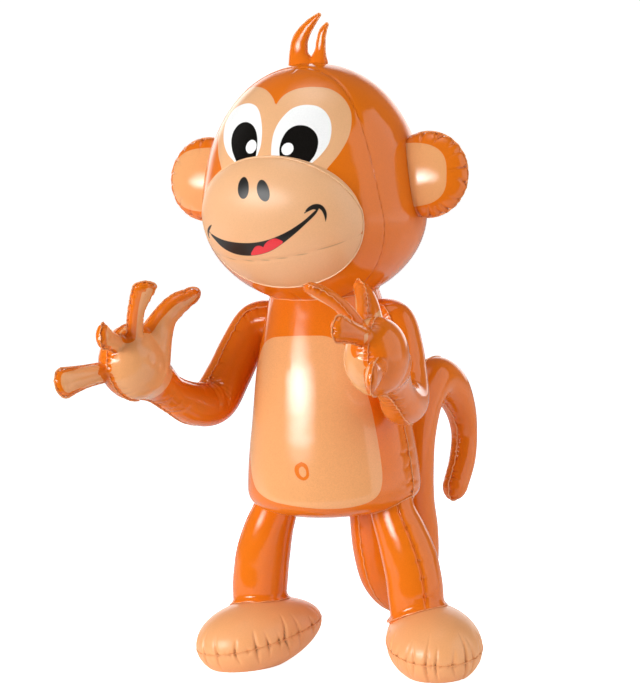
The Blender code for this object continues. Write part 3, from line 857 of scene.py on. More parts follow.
# The front panel's butt weld is a fine groove across the head, and the back's runs down its middle
groove = rib(local[..., 1] - head_panel_y(local[..., 2]), *BUTT_WELD)
back_seam = rib(local[..., 0], *BUTT_WELD) * (local[..., 1] > BACK_SEAM_START_Y)
local = local - unit(local) * np.maximum(groove, back_seam)[..., None]
rings = local @ HEAD_TURN.T + HEAD_CENTRE
poles = np.array([[0, 0, profile[0, 1]], [0, 0, profile[-1, 1]]]) @ HEAD_TURN.T + HEAD_CENTRE
head = mesh_object("head_chamber", *mesh_from_rings(rings, poles[0], poles[1]))
local = (places_of(head) - HEAD_CENTRE) @ HEAD_TURN
face = local[:, [0, 2]]
behind = np.where(local[:, 1] > PRINT_END_Y, OFF_PRINT, 0.0)
# Painted shade: a dark line along the front weld, shaded as a fold deeper than its groove
keep_attribute(head, "fold", rib(local[:, 1] - head_panel_y(local[:, 2]), *BUTT_WELD_SHADE))
for name, shapes in (("heart", (HEART,)), ("eye_white", EYE_WHITES), ("pupil", PUPILS), ("glint", GLINTS)):
    keep_attribute(head, name, prints_distance(face, shapes) + behind)
finish_piece(head, head_film, "orange_vinyl", "head")

# Muzzle: its front is the dome, its hidden back lies just under the head's film
MUZZLE_BACK_TUCK = 1.5
MOUTH_WELD = (0.9, 1.1)
# Depth and width of the painted shade along the weld under the mouth
MOUTH_WELD_SHADE = (2.9, 0.8)
TONGUE_INSET = 0.3
muzzle_rows = np.linspace(0, np.pi, 120)[1:-1][:, None]
# Close steps round the front and wide ones round the hidden back
muzzle_turns = np.radians(np.concatenate([np.linspace(-96, 96, 260), np.linspace(104, 256, 16)]))[None, :]
flat = np.sin(muzzle_rows)
local = MUZZLE_HALVES * np.stack([flat * np.sin(muzzle_turns), -flat * np.cos(muzzle_turns),
                                  -np.cos(muzzle_rows) + 0 * muzzle_turns], -1)
# The fine weld across the muzzle under the mouth
MUZZLE_WELD = smooth_path(((-79, -17.5), (-62, -16.6), (-44.2, -15), (-14.1, -12.4), (9.7, -9.9), (41.3, -7),
                           (57.9, -6.2), (79, -7.8)), 12)


def above_muzzle_weld(local):
    """How far points of the muzzle's own frame are above its weld."""
    return local[..., 2] - np.interp(local[..., 0], MUZZLE_WELD[:, 0], MUZZLE_WELD[:, 1])


def out_of_muzzle(local):
    """Points of the muzzle's own frame, placed on the head."""
    return local @ MUZZLE_TURN.T + MUZZLE_CENTRE


groove = rib(above_muzzle_weld(local), *MOUTH_WELD) * (local[..., 1] < 0)
local = local - unit(local) * groove[..., None]
muzzle_pole = np.array([0, 0, MUZZLE_HALVES[2]])
points, faces = mesh_from_rings(out_of_muzzle(local), out_of_muzzle(-muzzle_pole), out_of_muzzle(muzzle_pole))
in_head = (points - HEAD_CENTRE) @ HEAD_TURN
room = np.sqrt((head_ring_radius(in_head[:, 2]) ** 2 - in_head[:, 0] ** 2).clip(0))
in_head[:, 1] = np.minimum(in_head[:, 1], -room + MUZZLE_BACK_TUCK)
points = in_head @ HEAD_TURN.T + HEAD_CENTRE
muzzle = mesh_object("muzzle_chamber", points, faces)
local = (places_of(muzzle) - MUZZLE_CENTRE) @ MUZZLE_TURN
face = local[:, [0, 2]]
# Painted shade: a dark line along the weld under the mouth, shaded as a fold deeper than its groove
keep_attribute(muzzle, "fold", rib(above_muzzle_weld(local), *MOUTH_WELD_SHADE) * (local[:, 1] < 0))
keep_attribute(muzzle, "nostril", prints_distance(face, NOSTRILS))
keep_attribute(muzzle, "mouth", prints_distance(face, (MOUTH, RIGHT_TICK, LEFT_TICK)))
# The tongue stays inside the mouth's black edge
inside_mouth = print_distance(face, MOUTH) + TONGUE_INSET
keep_attribute(muzzle, "tongue", np.maximum(print_distance(face, TONGUE), inside_mouth))
finish_piece(muzzle, muzzle_film, "tan_vinyl", "muzzle")


def crossing(track, turns, far_reach, starts_outside):
    """The track's reach at which it meets the head's film on every turn, found by halving."""
    near, far = np.zeros(len(turns)), np.full(len(turns), far_reach)
    for _ in range(30):
        middle = (near + far) / 2
        short = (head_level(track(middle, turns)) > 0) == starts_outside
        near = np.where(short, middle, near)
        far = np.where(short, far, middle)
    return middle


def muzzle_dome(share, turns):
    """Points of the dome, by their share of the way from its middle to its edge."""
    dome = np.stack([share * np.cos(turns), -np.sqrt(1 - share ** 2), share * np.sin(turns)], 1)
    return out_of_muzzle(dome * MUZZLE_HALVES)


# The muzzle's rim: where its dome meets the head
turns = round_turns(260)
rim = muzzle_dome(crossing(muzzle_dome, turns, 1.0, True), turns)
head_out = unit((rim - HEAD_CENTRE) / (HEAD_RADIUS, HEAD_RADIUS, HEAD_ABOVE))
rim_ahead = unit(np.roll(rim, -1, axis=0) - np.roll(rim, 1, axis=0))
rim_out = unit(np.cross(rim_ahead, head_out))
rim_out *= np.sign((rim_out * (rim - rim.mean(0))).sum(1))[:, None]
RIM_LIFT = 0.6
RIM_TILT = 0.25
weld("muzzle_weld", [whole(rim + head_out * RIM_LIFT, rim_out + head_out * RIM_TILT, True)], tan_edge,
     "tan_vinyl", width=1.2, thickness=0.4, crimp=0.1, root=0.6)


def head_panel(reach, turns):
    """Points of the front panel's surface, by their reach from the head's axis."""
    spot = np.stack([reach * np.cos(turns), head_panel_y(reach * np.sin(turns)), reach * np.sin(turns)], 1)
    return spot @ HEAD_TURN.T + HEAD_CENTRE


# The front panel's weld, as a fine rib, found inside a reach that is well outside the head
PANEL_REACH = 140.0
turns = round_turns(HEAD_STEPS)
panel = head_panel(crossing(head_panel, turns, PANEL_REACH, False), turns)
weld("head_front_weld", [whole(panel, unit(panel - HEAD_CENTRE), True)], orange_film, "orange_vinyl",
     width=0.9, thickness=0.3, crimp=0.03, root=1.15)

# Ears: puffed pads with deep puckers round their welds; a patch has its middle and its half sizes, with
# its ellipse's corners filled out
EAR_PATCHES = {"left": (-16.5, -0.5, 40.0, 28.5), "right": (8.0, -1.0, 41.0, 29.5)}
EAR_PATCH_SQUARENESS = 0.72
EAR_STEPS = 220
for side, word in ((1, "left"), (-1, "right")):
    centre = np.array([side * EAR_OUT, -EAR_FORWARD, EAR_Z])
    # The pad's own Z points forward
    place = HEAD_TURN @ turn_x(90.0)
    girth = 2 * np.pi * EAR_RADIUS
    marks = pucker_marks(rng, 0, girth, 11.5, 4.6, 27.0, 1.1)
    marks += pucker_marks(rng, 0, girth, 4.0, 1.4, 6.0, 0.8)
    marks += [(mark[0] + girth, *mark[1:]) for mark in marks if mark[0] < 6]
    halves = (EAR_RADIUS, EAR_RADIUS, EAR_HALF_THICKNESS)
    ear = mesh_object("ear_%s_chamber" % word, *pad_skin((place, centre), halves, marks, EAR_STEPS, 1.0))
    local = (places_of(ear) - centre) @ HEAD_TURN
    patch = print_distance(local[:, [0, 2]], ring_of(*EAR_PATCHES[word], squareness=EAR_PATCH_SQUARENESS))
    keep_attribute(ear, "patch", patch + np.where(local[:, 1] > 0, OFF_PRINT, 0.0))
    finish_piece(ear, ear_film, "orange_vinyl", "ear_" + word)
    turns = round_turns(EAR_STEPS)
    outward = np.stack([np.cos(turns), np.sin(turns), 0 * turns], 1) @ place.T
    rim = centre + outward * EAR_RADIUS
    keep = head_level(rim) > 0.01
    weld("ear_%s_weld" % word, [(rim, outward, keep, True)], orange_edge, "orange_vinyl",
         width=2.0, crimp=0.9, pitch=5.0, root=1.4, seed=3.0 + side)

# Torso: two panels welded down both sides and under the body
TORSO_PITCH = 1.6
SKIN_TOP = TORSO_TOP - 0.5
wall_z = np.linspace(TORSO_WIDEST_Z, SKIN_TOP, 600)
upper = even_path(np.stack([torso_wall(wall_z), wall_z, 0 * wall_z], 1), TORSO_PITCH)[:, :2]
under = rounded_outline(TORSO_RADIUS, TORSO_WIDEST_Z - TORSO_BOTTOM, TORSO_BOTTOM_ROUNDNESS, TORSO_PITCH)
under = np.stack([under[:, 0], TORSO_WIDEST_Z - under[:, 1]], 1)[::-1]
profile = np.concatenate([under[1:], upper[1:]])
along_wall = np.concatenate([[0], np.cumsum(np.linalg.norm(np.diff(profile, axis=0), axis=1))])
turns = round_turns(260)[None, :]
reach = profile[:, 0][:, None]
away = reach * np.arccos(np.abs(np.cos(turns)).clip(0, 1))
along = along_wall[:, None] + 0 * turns
drawn = np.zeros(along.shape)
# The puckers are deepest round the lower corner
corner = along_wall[np.argmax(profile[:, 0] >= TORSO_RADIUS - 1)]
for flank in (1, -1):
    marks = pucker_marks(rng, corner - 30, corner + 40, 13, 2.4, 24, 1.2)
    marks += pucker_marks(rng, corner - 30, corner + 90, 5.5, 1.5, 7, 0.9)
    marks += pucker_marks(rng, corner + 48, along_wall[-1] - 10, 15, 1.0, 9, 1.1)
    here = np.cos(turns) * flank + 0 * along >= 0
    drawn[here] = pucker_depth(along[here], away[here], marks)
neck_marks = pucker_marks(rng, 0, 2 * np.pi * NECK_RADIUS, 17, 0.9, 22, 3.0)
neck_depth = pucker_depth(turns * NECK_RADIUS + 0 * along, (along_wall[-1] - along).clip(0), neck_marks)
drawn = np.maximum(drawn, neck_depth)
# The air rounds the shoulders, and the front and back panels a little more than their welds
PANEL_SWELL = 1.5
PANEL_SWELL_Z = 235
PANEL_SWELL_SPREAD = 40
level = profile[:, 1][:, None]
panel_swell = rib(level - PANEL_SWELL_Z, PANEL_SWELL, PANEL_SWELL_SPREAD) * np.sin(turns) ** 2
reach = reach + (torso_swell(level) + panel_swell) - drawn
rings = np.stack([reach * np.cos(turns), reach * np.sin(turns), level + 0 * turns], -1)
torso_poles = np.array([[0, 0, TORSO_BOTTOM], [0, 0, SKIN_TOP]])
folds = np.concatenate([drawn.ravel(), [0, 0]])
torso = mesh_object("torso_chamber", *mesh_from_rings(rings, torso_poles[0], torso_poles[1]), folds)
points = places_of(torso)
# The belly print's film is 1.3 mm wide for each degree round the torso
MM_PER_DEGREE = 1.3
wrapped = np.stack([np.degrees(np.arctan2(points[:, 0], -points[:, 1])) * MM_PER_DEGREE, points[:, 2]], 1)
for name, shape in (("belly", BELLY), ("navel", NAVEL), ("navel_hole", NAVEL_HOLE)):
    keep_attribute(torso, name, print_distance(wrapped, shape * (MM_PER_DEGREE, 1)))
finish_piece(torso, torso_film, "orange_vinyl", "torso")
runs = []
for flank in (1, -1):
    radius, height = profile.T
    wall = np.stack([(radius + torso_swell(height)) * flank, 0 * radius, height], 1)
    outward = unit(np.stack([np.gradient(height) * flank, 0 * radius, -np.gradient(radius)], 1))
    runs.append((wall, outward, head_level(wall) > 0, False))
weld("torso_weld", runs, orange_edge, "orange_vinyl", width=1.9, crimp=0.5, pitch=9.0, root=1.2)

# Neck: the weld between torso and head
upright = np.linspace(300, TORSO_TOP - 1, 400)
axis_line = np.stack([0 * upright, 0 * upright, upright], 1)
neck_radius = torso_wall(upright) + torso_swell(upright)
ring, outward = meeting_ring(axis_line, neck_radius, np.array([1, 0, 0]), np.array([0, 1, 0]),
                             lambda track: -head_level(track), 160)
weld("neck_weld", [whole(ring, outward, True)], orange_edge, "orange_vinyl", width=2.6, crimp=0.25, pitch=14,
     root=0.8)


def foot_scale(local):
    """How much wider and thicker than a plain egg the foot is at points of its own frame."""
    scale = 1 - FOOT_TAPER * local[..., 1:2] / FOOT_HALVES[1]
    return np.concatenate([scale, np.ones(scale.shape), scale], -1)


def foot_swell(local):
    """Points of a plain egg, swollen towards the toes."""
    return local * foot_scale(local)


# Legs, each with a weld on its outer front and one opposite, at degrees from straight ahead
LEG_WELD_TURN = {"left": 43.5, "right": 62.0}
FOOT_WELD_RADIUS = (FOOT_HALVES[0] + FOOT_HALVES[1]) / 2
LEG_FLARE = 2.6
LEG_FLARE_REACH = 3.2
for side, word in ((1, "left"), (-1, "right")):
    route = [(side * x, y, z, radius) for x, y, z, radius in LEG_ROUTE]
    angle = np.radians(LEG_WELD_TURN[word])
    seam = np.array([side * np.sin(angle), -np.cos(angle), 0])
    line = tube_line(route, 1.0, seam=seam)
    turn = turn_z(side * FOOT_SPLAY) @ turn_x(FOOT_PITCH)
    centre = np.array([side * FOOT_OUT + FOOT_SWAY, side * FOOT_STAGGER - FOOT_FORWARD, FOOT_Z])

    def foot_level(points, turn=turn, centre=centre):
        """Above zero outside the foot, below zero inside."""
        local = (points - centre) @ turn
        return ((local / foot_scale(local) / FOOT_HALVES) ** 2).sum(1) - 1

    marks = pucker_marks(rng, 0, 2 * np.pi * FOOT_WELD_RADIUS, 14.5, 4.2, 28, 1.0)
    marks += pucker_marks(rng, 0, 2 * np.pi * FOOT_WELD_RADIUS, 7.0, 1.2, 8, 0.8)
    points, faces, folds = pad_skin((turn, centre), FOOT_HALVES, marks, 330, 1.5, foot_swell, groove=0.5)
    points[:, 2] = points[:, 2].clip(0)
    foot = mesh_object("foot_%s_chamber" % word, points, faces, folds)
    finish_piece(foot, foot_film, "tan_vinyl", "foot_" + word)
    turns = round_turns(240)
    flat = np.stack([np.cos(turns) * FOOT_HALVES[0], np.sin(turns) * FOOT_HALVES[1], 0 * turns], 1)
    rim = foot_swell(flat) @ turn.T + centre
    outward = unit(flat / (FOOT_HALVES[0] ** 2, FOOT_HALVES[1] ** 2, 1)) @ turn.T
    weld("foot_%s_weld" % word, [whole(rim, outward, True)], foot_film, "tan_vinyl", width=1.7, thickness=0.5,
         crimp=0.4, pitch=5, root=1.3)
    lower = slice(len(line["radius"]) // 2, None)
    ring, outward = meeting_ring(line["centre"][lower], line["radius"][lower], line["side"][-1],
                                 line["up"][-1], foot_level)
    # The leg flares into a small rounded lip where it is welded on the foot
    marks = {}
    for flank in (1, -1):
        marks[flank] = bend_marks(rng, line, flank, 8, 1.2, 0.5, 1.2)
        marks[flank] += pucker_marks(rng, 20, 110, 17, 1.3, 9, 1.0)
    points, faces, folds = tube_skin(line, 120, marks, 0.2, 0.2, groove=1.0)
    distance = nearest_seam(points, ring)[1]
    spread = unit((points - line["centre"].mean(0)) * (1, 1, 0))
    points = points + spread * rib(distance, LEG_FLARE, LEG_FLARE_REACH)[:, None]
    leg = mesh_object("leg_%s_chamber" % word, points, faces, folds)
    finish_piece(leg, orange_film, "orange_vinyl", "leg_" + word)
    ring = ring + outward * FLANGE_WIDTH
    upper = slice(0, len(line["radius"]) // 2)
    top_ring, top_outward = meeting_ring(line["centre"][upper], line["radius"][upper], line["side"][0],
                                         line["up"][0], torso_level)
    weld("leg_%s_ends_weld" % word, [whole(ring, outward, True), whole(top_ring, top_outward, True)],
         orange_edge, "orange_vinyl", crimp=0.3, pitch=10)
    points, outward = tube_outline(line, 0.2)
    keep = (foot_level(points) > 0) & ((torso_level(points) > 0) | (points[:, 2] < TORSO_BOTTOM))
    weld("leg_%s_weld" % word, [(points, outward, keep, False)], orange_film, "orange_vinyl", width=1.3,
         thickness=0.4, crimp=0.2, root=1.2)

# Tail: two panels cut to its curve, so its welds run along the inside and the outside
TAIL_CAP = 1.3
angle = np.radians(TAIL_TURN)
route = [(back * np.sin(angle), back * np.cos(angle), z, radius) for back, z, radius in TAIL_ROUTE]
tail_line = tube_line(route, 1.2, normal=np.array([np.cos(angle), -np.sin(angle), 0]))
marks = {}
tail_end = tail_line["along"][-1]
for flank in (1, -1):
    marks[flank] = bend_marks(rng, tail_line, flank, 6.0, 2.4, 1.15, 1.5)
    marks[flank] += pucker_marks(rng, tail_end - 12, tail_end + 20, 4.5, 2.4, 12, 1.2)
    marks[flank] += pucker_marks(rng, 20, tail_end, 19, 0.8, 7, 1.2)
tail = mesh_object("tail_chamber", *tube_skin(tail_line, 78, marks, end_cap=TAIL_CAP))
finish_piece(tail, orange_film, "orange_vinyl", "tail")
points, outward = tube_outline(tail_line, TAIL_CAP)
weld("tail_weld", [(points, outward, torso_level(points) > 0, False)], orange_edge, "orange_vinyl", width=2.0,
     crimp=0.6, pitch=7, root=1.2)
root_end = slice(0, len(tail_line["radius"]) // 6)
ring, outward = meeting_ring(tail_line["centre"][root_end], tail_line["radius"][root_end],
                             tail_line["side"][0], tail_line["up"][0], torso_level)
weld("tail_root_weld", [whole(ring, outward, False)], orange_edge, "orange_vinyl", width=2.2)


# Arms: tube, palm and fingers are one pair of film panels, so they are joined into one skin


def arm_point(point, side, share=1.0):
    """A point of the arm or hand, swayed and lifted by its share of the way to the hand."""
    out = side * (SHOULDER_OUT + point[0]) + ARM_SWAY
    return np.array([out, point[1], point[2] + side * HAND_LIFT * share])


def merged(name, shapes, voxel, smoothing):
    """One skin round overlapping closed shapes."""
    piece = mesh_object(name, *joined(shapes))
    remesh = piece.modifiers.new("join", 'REMESH')
    remesh.mode = 'VOXEL'
    remesh.voxel_size = voxel * MM
    smooth = piece.modifiers.new("ease", 'SMOOTH')
    smooth.factor = 0.5
    smooth.iterations = smoothing
    return bake(piece)


def draw_in(piece, depth):
    """Move every vertex inwards along its normal by a depth in millimetres."""
    normals = np.zeros(len(piece.data.vertices) * 3)
    piece.data.vertices.foreach_get("normal", normals)
    spots = (places_of(piece) - normals.reshape(-1, 3) * depth[:, None] + BODY_AXIS / MM) * MM
    piece.data.vertices.foreach_set("co", spots.ravel())
    piece.data.update()


def pad_level(points, place, halves):
    """Roughly how far points are outside a pad, in millimetres."""
    turn, centre = place
    size = np.sqrt((((points - centre) @ turn / halves) ** 2).sum(1))
    return (size - 1) * min(halves)


# Orange borders along the palm's weld and at the roots of the left hand's middle and lower fingers
PALM_BORDER = 4.0
ROOT_BORDER = 12.0
# How far the elbow's outer corner stands out, and how fast it fades along and away from the weld
ELBOW_CORNER = {"left": 9.0, "right": 2.0}
ELBOW_FADE = 9
ELBOW_FADE_AWAY = 8
# How far the folds inside the wrist reach
WRIST_FOLDS = {"left": 12, "right": 30}
# The palm's print ends at the wrist, this share of the pad's half length from its middle
WRIST_SHARE = 0.97
# How far along the arm its panels start to turn into the palm's plane
PANEL_TURN_START = 0.6
FINGER_ROOT_FLATNESS = 0.95
# Gap between an arm's weld and the other chambers that it runs into
CLEAR = 0.3
ARM_VOXEL = 1.15
for side, word in ((1, "left"), (-1, "right")):
    mirror = np.array([side, 1, 1])
    palm_along = unit(PALM_ALONG * mirror)
    inward = PALM_INWARD * mirror
    inward = unit(inward - palm_along * (inward @ palm_along))
    palm_centre = arm_point(PALM_CENTRE, side) + palm_along * 2.5 + (0, 0, 1.5)
    palm_place = (np.stack([np.cross(palm_along, inward), palm_along, inward], 1), palm_centre)
    palm_halves = np.array([PALM_HALVES[0], PALM_HALVES[2] - 1.5, PALM_HALVES[1]])
    reach = len(ARM_ROUTE) - 2
    shares = [min(index / reach, 1) for index in range(len(ARM_ROUTE))]
    route = [(*arm_point(point, side, share), point[3]) for point, share in zip(ARM_ROUTE, shares)]
    # The panels lie flat across the elbow's bend and turn into the palm's plane at the wrist
    bend = np.array(ARM_BEND_NORMAL) * mirror
    count = len(even_path(smooth_path(route, 24), 1.0))
    share = np.linspace(0, 1, count)[:, None]
    share = np.clip((share - PANEL_TURN_START) / (1 - PANEL_TURN_START), 0, 1)
    arm_line = tube_line(route, 1.0, normal=unit(bend * (1 - share) + inward * share) * side)
    lines = [arm_line]
    shapes = [tube_skin(arm_line, 72, {}, end_cap=0.9)[:2]]
    shapes.append(pad_skin(palm_place, palm_halves, [], 120, 1.6)[:2])
    for number, (bones, (facing, flatness, cap, _)) in enumerate(zip(FINGERS, FINGER_ENDS)):
        bones = [(*arm_point(bone, side), bone[3]) for bone in bones]
        if number == 1:
            bones[-1] = (*(np.array(bones[-1][:3]) + SECOND_FINGER_LEAN[word]), bones[-1][3])
        line = tube_line(bones, 0.9, normal=np.array(facing) * mirror * side)
        ease = (line["along"] / line["along"][-1]) ** 2.5
        flat = FINGER_ROOT_FLATNESS + (flatness - FINGER_ROOT_FLATNESS) * ease
        shapes.append(tube_skin(line, 56, {}, end_cap=cap, flat=flat)[:2])
        lines.append(line)
    arm = merged("arm_%s_chamber" % word, shapes, ARM_VOXEL, 10)

    def clear_of(points, own):
        """Where points lie outside all the arm's other chambers."""
        clear = torso_level(points) > 0
        for number, line in enumerate(lines):
            if own != number:
                clear &= tube_level(points, line) > CLEAR
        if own != "palm":
            clear &= pad_level(points, palm_place, palm_halves) > CLEAR
        return clear

    # Seams: outlines with their print borders and inward directions
    runs, borders, inwards = [], [], []
    points, outward = tube_outline(arm_line)
    runs.append((points, outward, clear_of(points, 0), False))
    borders.append(np.full(len(points), PALM_BORDER))
    inwards.append(np.tile(inward, (len(points), 1)))
    turns = round_turns(220)
    flat = np.stack([np.cos(turns), np.sin(turns), 0 * turns], 1)
    points = (flat * palm_halves) @ palm_place[0].T + palm_place[1]
    runs.append((points, unit(flat / palm_halves) @ palm_place[0].T, clear_of(points, "palm"), True))
    borders.append(np.full(len(points), PALM_BORDER))
    inwards.append(np.tile(inward, (len(points), 1)))
    for number, (line, (facing, _, cap, border)) in enumerate(zip(lines[1:], FINGER_ENDS), 1):
        points, outward = tube_outline(line, cap)
        runs.append((points, outward, clear_of(points, number), False))
        length = len(line["radius"])
        from_root = np.concatenate([np.arange(length), np.full(len(points) - 2 * length, length),
                                    np.arange(length)[::-1]]) / length
        flank_border = np.where(np.arange(len(points)) < len(points) / 2, *border)
        from_tip = np.linalg.norm(points - line["centre"][-1], axis=1) / line["radius"][-1]
        at_tip = 5.5 * np.clip(2.2 - from_tip, 0, 1)
        at_root = ROOT_BORDER * (from_root < 0.34) * (word == "left" and number > 1)
        borders.append(np.max([flank_border, at_tip, at_root], axis=0))
        share = np.clip(from_root * 2.5, 0, 1)[:, None]
        inwards.append(unit(inward * (1 - share) + np.array(facing) * mirror * share))
    curving = np.gradient(arm_line["ahead"], axis=0)
    elbow = int(np.argmax(np.linalg.norm(curving, axis=1)))
    inner_flank = np.sign(curving[elbow] @ arm_line["side"][elbow])
    # Puckers: close at the finger ends, wrist, elbow's inside and shoulder, sparse between
    marks = []
    offset = 0
    for number, run in enumerate(runs):
        length = len(run[0])
        if number == 0:
            half = length // 2
            marks += bend_marks(rng, arm_line, 1, 5.5, 2.8, 1.6, 1.4)
            back_marks = bend_marks(rng, arm_line, -1, 5.5, 2.8, 1.6, 1.4)
            marks += [(length - mark[0], *mark[1:]) for mark in back_marks]
            for start, end in ((0, 34), (length - 34, length)):
                marks += pucker_marks(rng, offset + start, offset + end, 6.5, 2.2, 17, 1.4)
            for flank, start, end in ((1, half - 64, half - 32), (-1, half + 32, half + 64)):
                fold, deep = (WRIST_FOLDS[word], 2.3) if flank == inner_flank else (8, 1.0)
                marks += pucker_marks(rng, offset + start, offset + end, 5.5, deep, fold, 1.0)
            marks += pucker_marks(rng, offset, offset + length, 22, 0.9, 8, 1.2)
        elif number == 1:
            marks += pucker_marks(rng, offset, offset + length, 6, 1.5, 15, 1.3)
        else:
            middle = offset + length // 2
            width = int(lines[number - 1]["radius"][-1] * 1.7)
            marks += pucker_marks(rng, middle - width, middle + width, 3.6, 2.2, 8, 0.9)
            marks += pucker_marks(rng, offset, offset + length, 8, 1.1, 7, 1.0)
        offset += length
    seam_points = np.concatenate([run[0] for run in runs])
    seam_keep = np.concatenate([run[2] for run in runs])
    kept = np.nonzero(seam_keep)[0]
    points = places_of(arm)
    index, distance = nearest_seam(points, seam_points[kept])
    index = kept[index]
    depth = pucker_depth(index.astype(float), distance, marks)
    # The flat panels' outer corner still shows at the elbow
    corner = elbow if inner_flank < 0 else len(runs[0][0]) - 1 - elbow
    in_arm = index < len(runs[0][0])
    at_corner = in_arm * np.exp(-np.abs(index - corner) / ELBOW_FADE)
    depth -= ELBOW_CORNER[word] * at_corner * np.exp(-distance / ELBOW_FADE_AWAY)
    draw_in(arm, depth)
    # The puckers' depth, which the material turns into painted shade in their valleys
    keep_attribute(arm, "fold", depth)
    push = ELBOW_CORNER[word] * np.exp(-np.abs(np.arange(len(runs[0][0])) - corner) / ELBOW_FADE)
    runs[0] = (runs[0][0] + runs[0][1] * push[:, None], *runs[0][1:])
    offset = points - seam_points[index]
    facing = (offset * np.concatenate(inwards)[index]).sum(1)
    # Tan where the film faces inward and is further from the weld than the border
    tan = np.where(facing > 0, distance - np.concatenate(borders)[index], -distance)
    # The palm's outer side is plain orange up to the fingers' roots
    beside = pad_level(points, palm_place, palm_halves) < 5
    outer = (points - palm_place[1]) @ inward < -1
    tan = np.where(beside & outer, np.minimum(tan, -4.0), tan)
    wrist = palm_place[1] - palm_along * palm_halves[1] * WRIST_SHARE
    tan = np.minimum(tan, (points - wrist) @ palm_along)
    keep_attribute(arm, "palm", -tan)
    finish_piece(arm, hand_film, "orange_vinyl", "arm_" + word)
    weld("arm_%s_weld" % word, runs, orange_edge, "orange_vinyl", width=2.0, thickness=0.5, crimp=0.6,
         pitch=4.5, root=1.0, seed=5.0 + side)

# Hair tuft: two flat horns
TUFT_VOXEL = 0.7
lines = []
for horn in (TALL_HORN, SHORT_HORN):
    route = [(x, 0.0, z, half_width) for x, z, half_width in horn]
    lines.append(tube_line(route, 0.7, normal=np.array([0, 1.0, 0])))
horn_shapes = []
for line in lines:
    length = line["along"][-1]
    marks = {flank: pucker_marks(rng, 0, length, 8, 0.9, 6, 1.0) for flank in (1, -1)}
    horn_shapes.append(tube_skin(line, 64, marks, 0.2, 1.0, flat=TUFT_THICKNESS)[:2])
tuft = merged("tuft_chamber", horn_shapes, TUFT_VOXEL, 2)
finish_piece(tuft, orange_film, "orange_vinyl", "hair_tuft")
runs = []
for line, other in (lines, lines[::-1]):
    points, outward = tube_outline(line, 1.0)
    runs.append((points, outward, (tube_level(points, other) > -0.3) & (head_level(points) > 0), False))
weld("tuft_weld", runs, orange_edge, "orange_vinyl", width=1.2, thickness=0.5, crimp=0.3, pitch=5.0, root=0.5)

# Valve: a moulded collar with its push-in plug, on the back of the torso
# Radius and height over the torso's film, from the collar's root to the plug's top
VALVE_PROFILE = ((8, -5), (8, 0.6), (7.5, 1.2), (5.2, 1.3), (4.9, 1.0), (4.6, 1.0), (4.5, 2.6), (4.0, 3.2))
valve_z = np.array([VALVE_Z])
wall = float((torso_wall(valve_z) + torso_swell(valve_z))[0])
turns = round_turns(64)
rings = np.array([[(radius * np.cos(a), wall + out, VALVE_Z + radius * np.sin(a)) for a in turns]
                  for radius, out in VALVE_PROFILE])
root, top = [np.array([0, wall + VALVE_PROFILE[end][1], VALVE_Z]) for end in (0, -1)]
valve = mesh_object("valve_body", *mesh_from_rings(rings, root, top))
finish_piece(valve, clear_vinyl, "clear_plug", "valve")

# Stage: a white floor in metres. The camera sees it bright enough to run into the white room behind it,
# and the vinyl sees it dimmer.
FLOOR_HALF = 12.0
FLOOR_AHEAD = 0.5
FLOOR_GLOW = 0.12
FLOOR_GLOW_SEEN = 0.9
floor_mesh = bpy.data.meshes.new("studio_floor")
floor_mesh.from_pydata([(x, y, 0) for x, y in ((-FLOOR_HALF, -FLOOR_AHEAD), (FLOOR_HALF, -FLOOR_AHEAD),
                                               (FLOOR_HALF, FLOOR_HALF), (-FLOOR_HALF, FLOOR_HALF))],
                       [], [(0, 1, 2, 3)])
floor = bpy.data.objects.new("studio_floor", floor_mesh)
bpy.context.collection.objects.link(floor)
paper = bpy.data.materials.new("backlit white acrylic floor")
paper.use_nodes = True
paper_shader = paper.node_tree.nodes["Principled BSDF"]
paper_shader.inputs["Base Color"].default_value = srgb("#F4F4F4")
paper_shader.inputs["Roughness"].default_value = 0.9
paper_shader.inputs["Specular IOR Level"].default_value = 0.2
paper_shader.inputs["Emission Color"].default_value = (1, 1, 1, 1)
seen = add(paper.node_tree, "ShaderNodeLightPath", output="Is Camera Ray")
glow = add(paper.node_tree, "ShaderNodeMapRange", {0: seen, 3: FLOOR_GLOW, 4: FLOOR_GLOW_SEEN})
paper.node_tree.links.new(glow, paper_shader.inputs["Emission Strength"])
floor.data.materials.append(paper)

# Light: a white room behind the monkey, a dark one before it, softboxes, and bounce from the walls
ROOM_AHEAD = (0.43, -0.89, 0.12)
world = bpy.data.worlds.new("studio")
bpy.context.scene.world = world
world.use_nodes = True
tree = world.node_tree
background = tree.nodes["Background"]
direction = add(tree, "ShaderNodeTexCoord", output="Generated")
facing = add(tree, "ShaderNodeVectorMath", {0: direction, 1: ROOM_AHEAD}, output="Value",
             operation='DOT_PRODUCT')
dim = add(tree, "ShaderNodeMapRange", {0: facing, 1: -0.6, 2: 0.1, 3: 0.16, 4: 0.03})
white_wall = add(tree, "ShaderNodeMapRange", {0: facing, 1: -0.72, 2: -0.86, 3: 0.0, 4: 1.8})
dim = add(tree, "ShaderNodeMath", {0: dim, 1: white_wall}, operation='ADD')
seen = add(tree, "ShaderNodeLightPath", output="Is Camera Ray")
strength = add(tree, "ShaderNodeMix", {0: seen, 2: dim, 3: 1.1})
tree.links.new(strength, background.inputs["Strength"])
background.inputs["Color"].default_value = (1, 1, 1, 1)


LIGHT_AIM_Z = 0.3


def away_from_monkey(azimuth, elevation):
    """The direction from the monkey to a place at degrees round from its front and up from the floor."""
    a, e = np.radians(azimuth), np.radians(elevation)
    return Vector((np.sin(a) * np.cos(e), -np.cos(a) * np.cos(e), np.sin(e)))


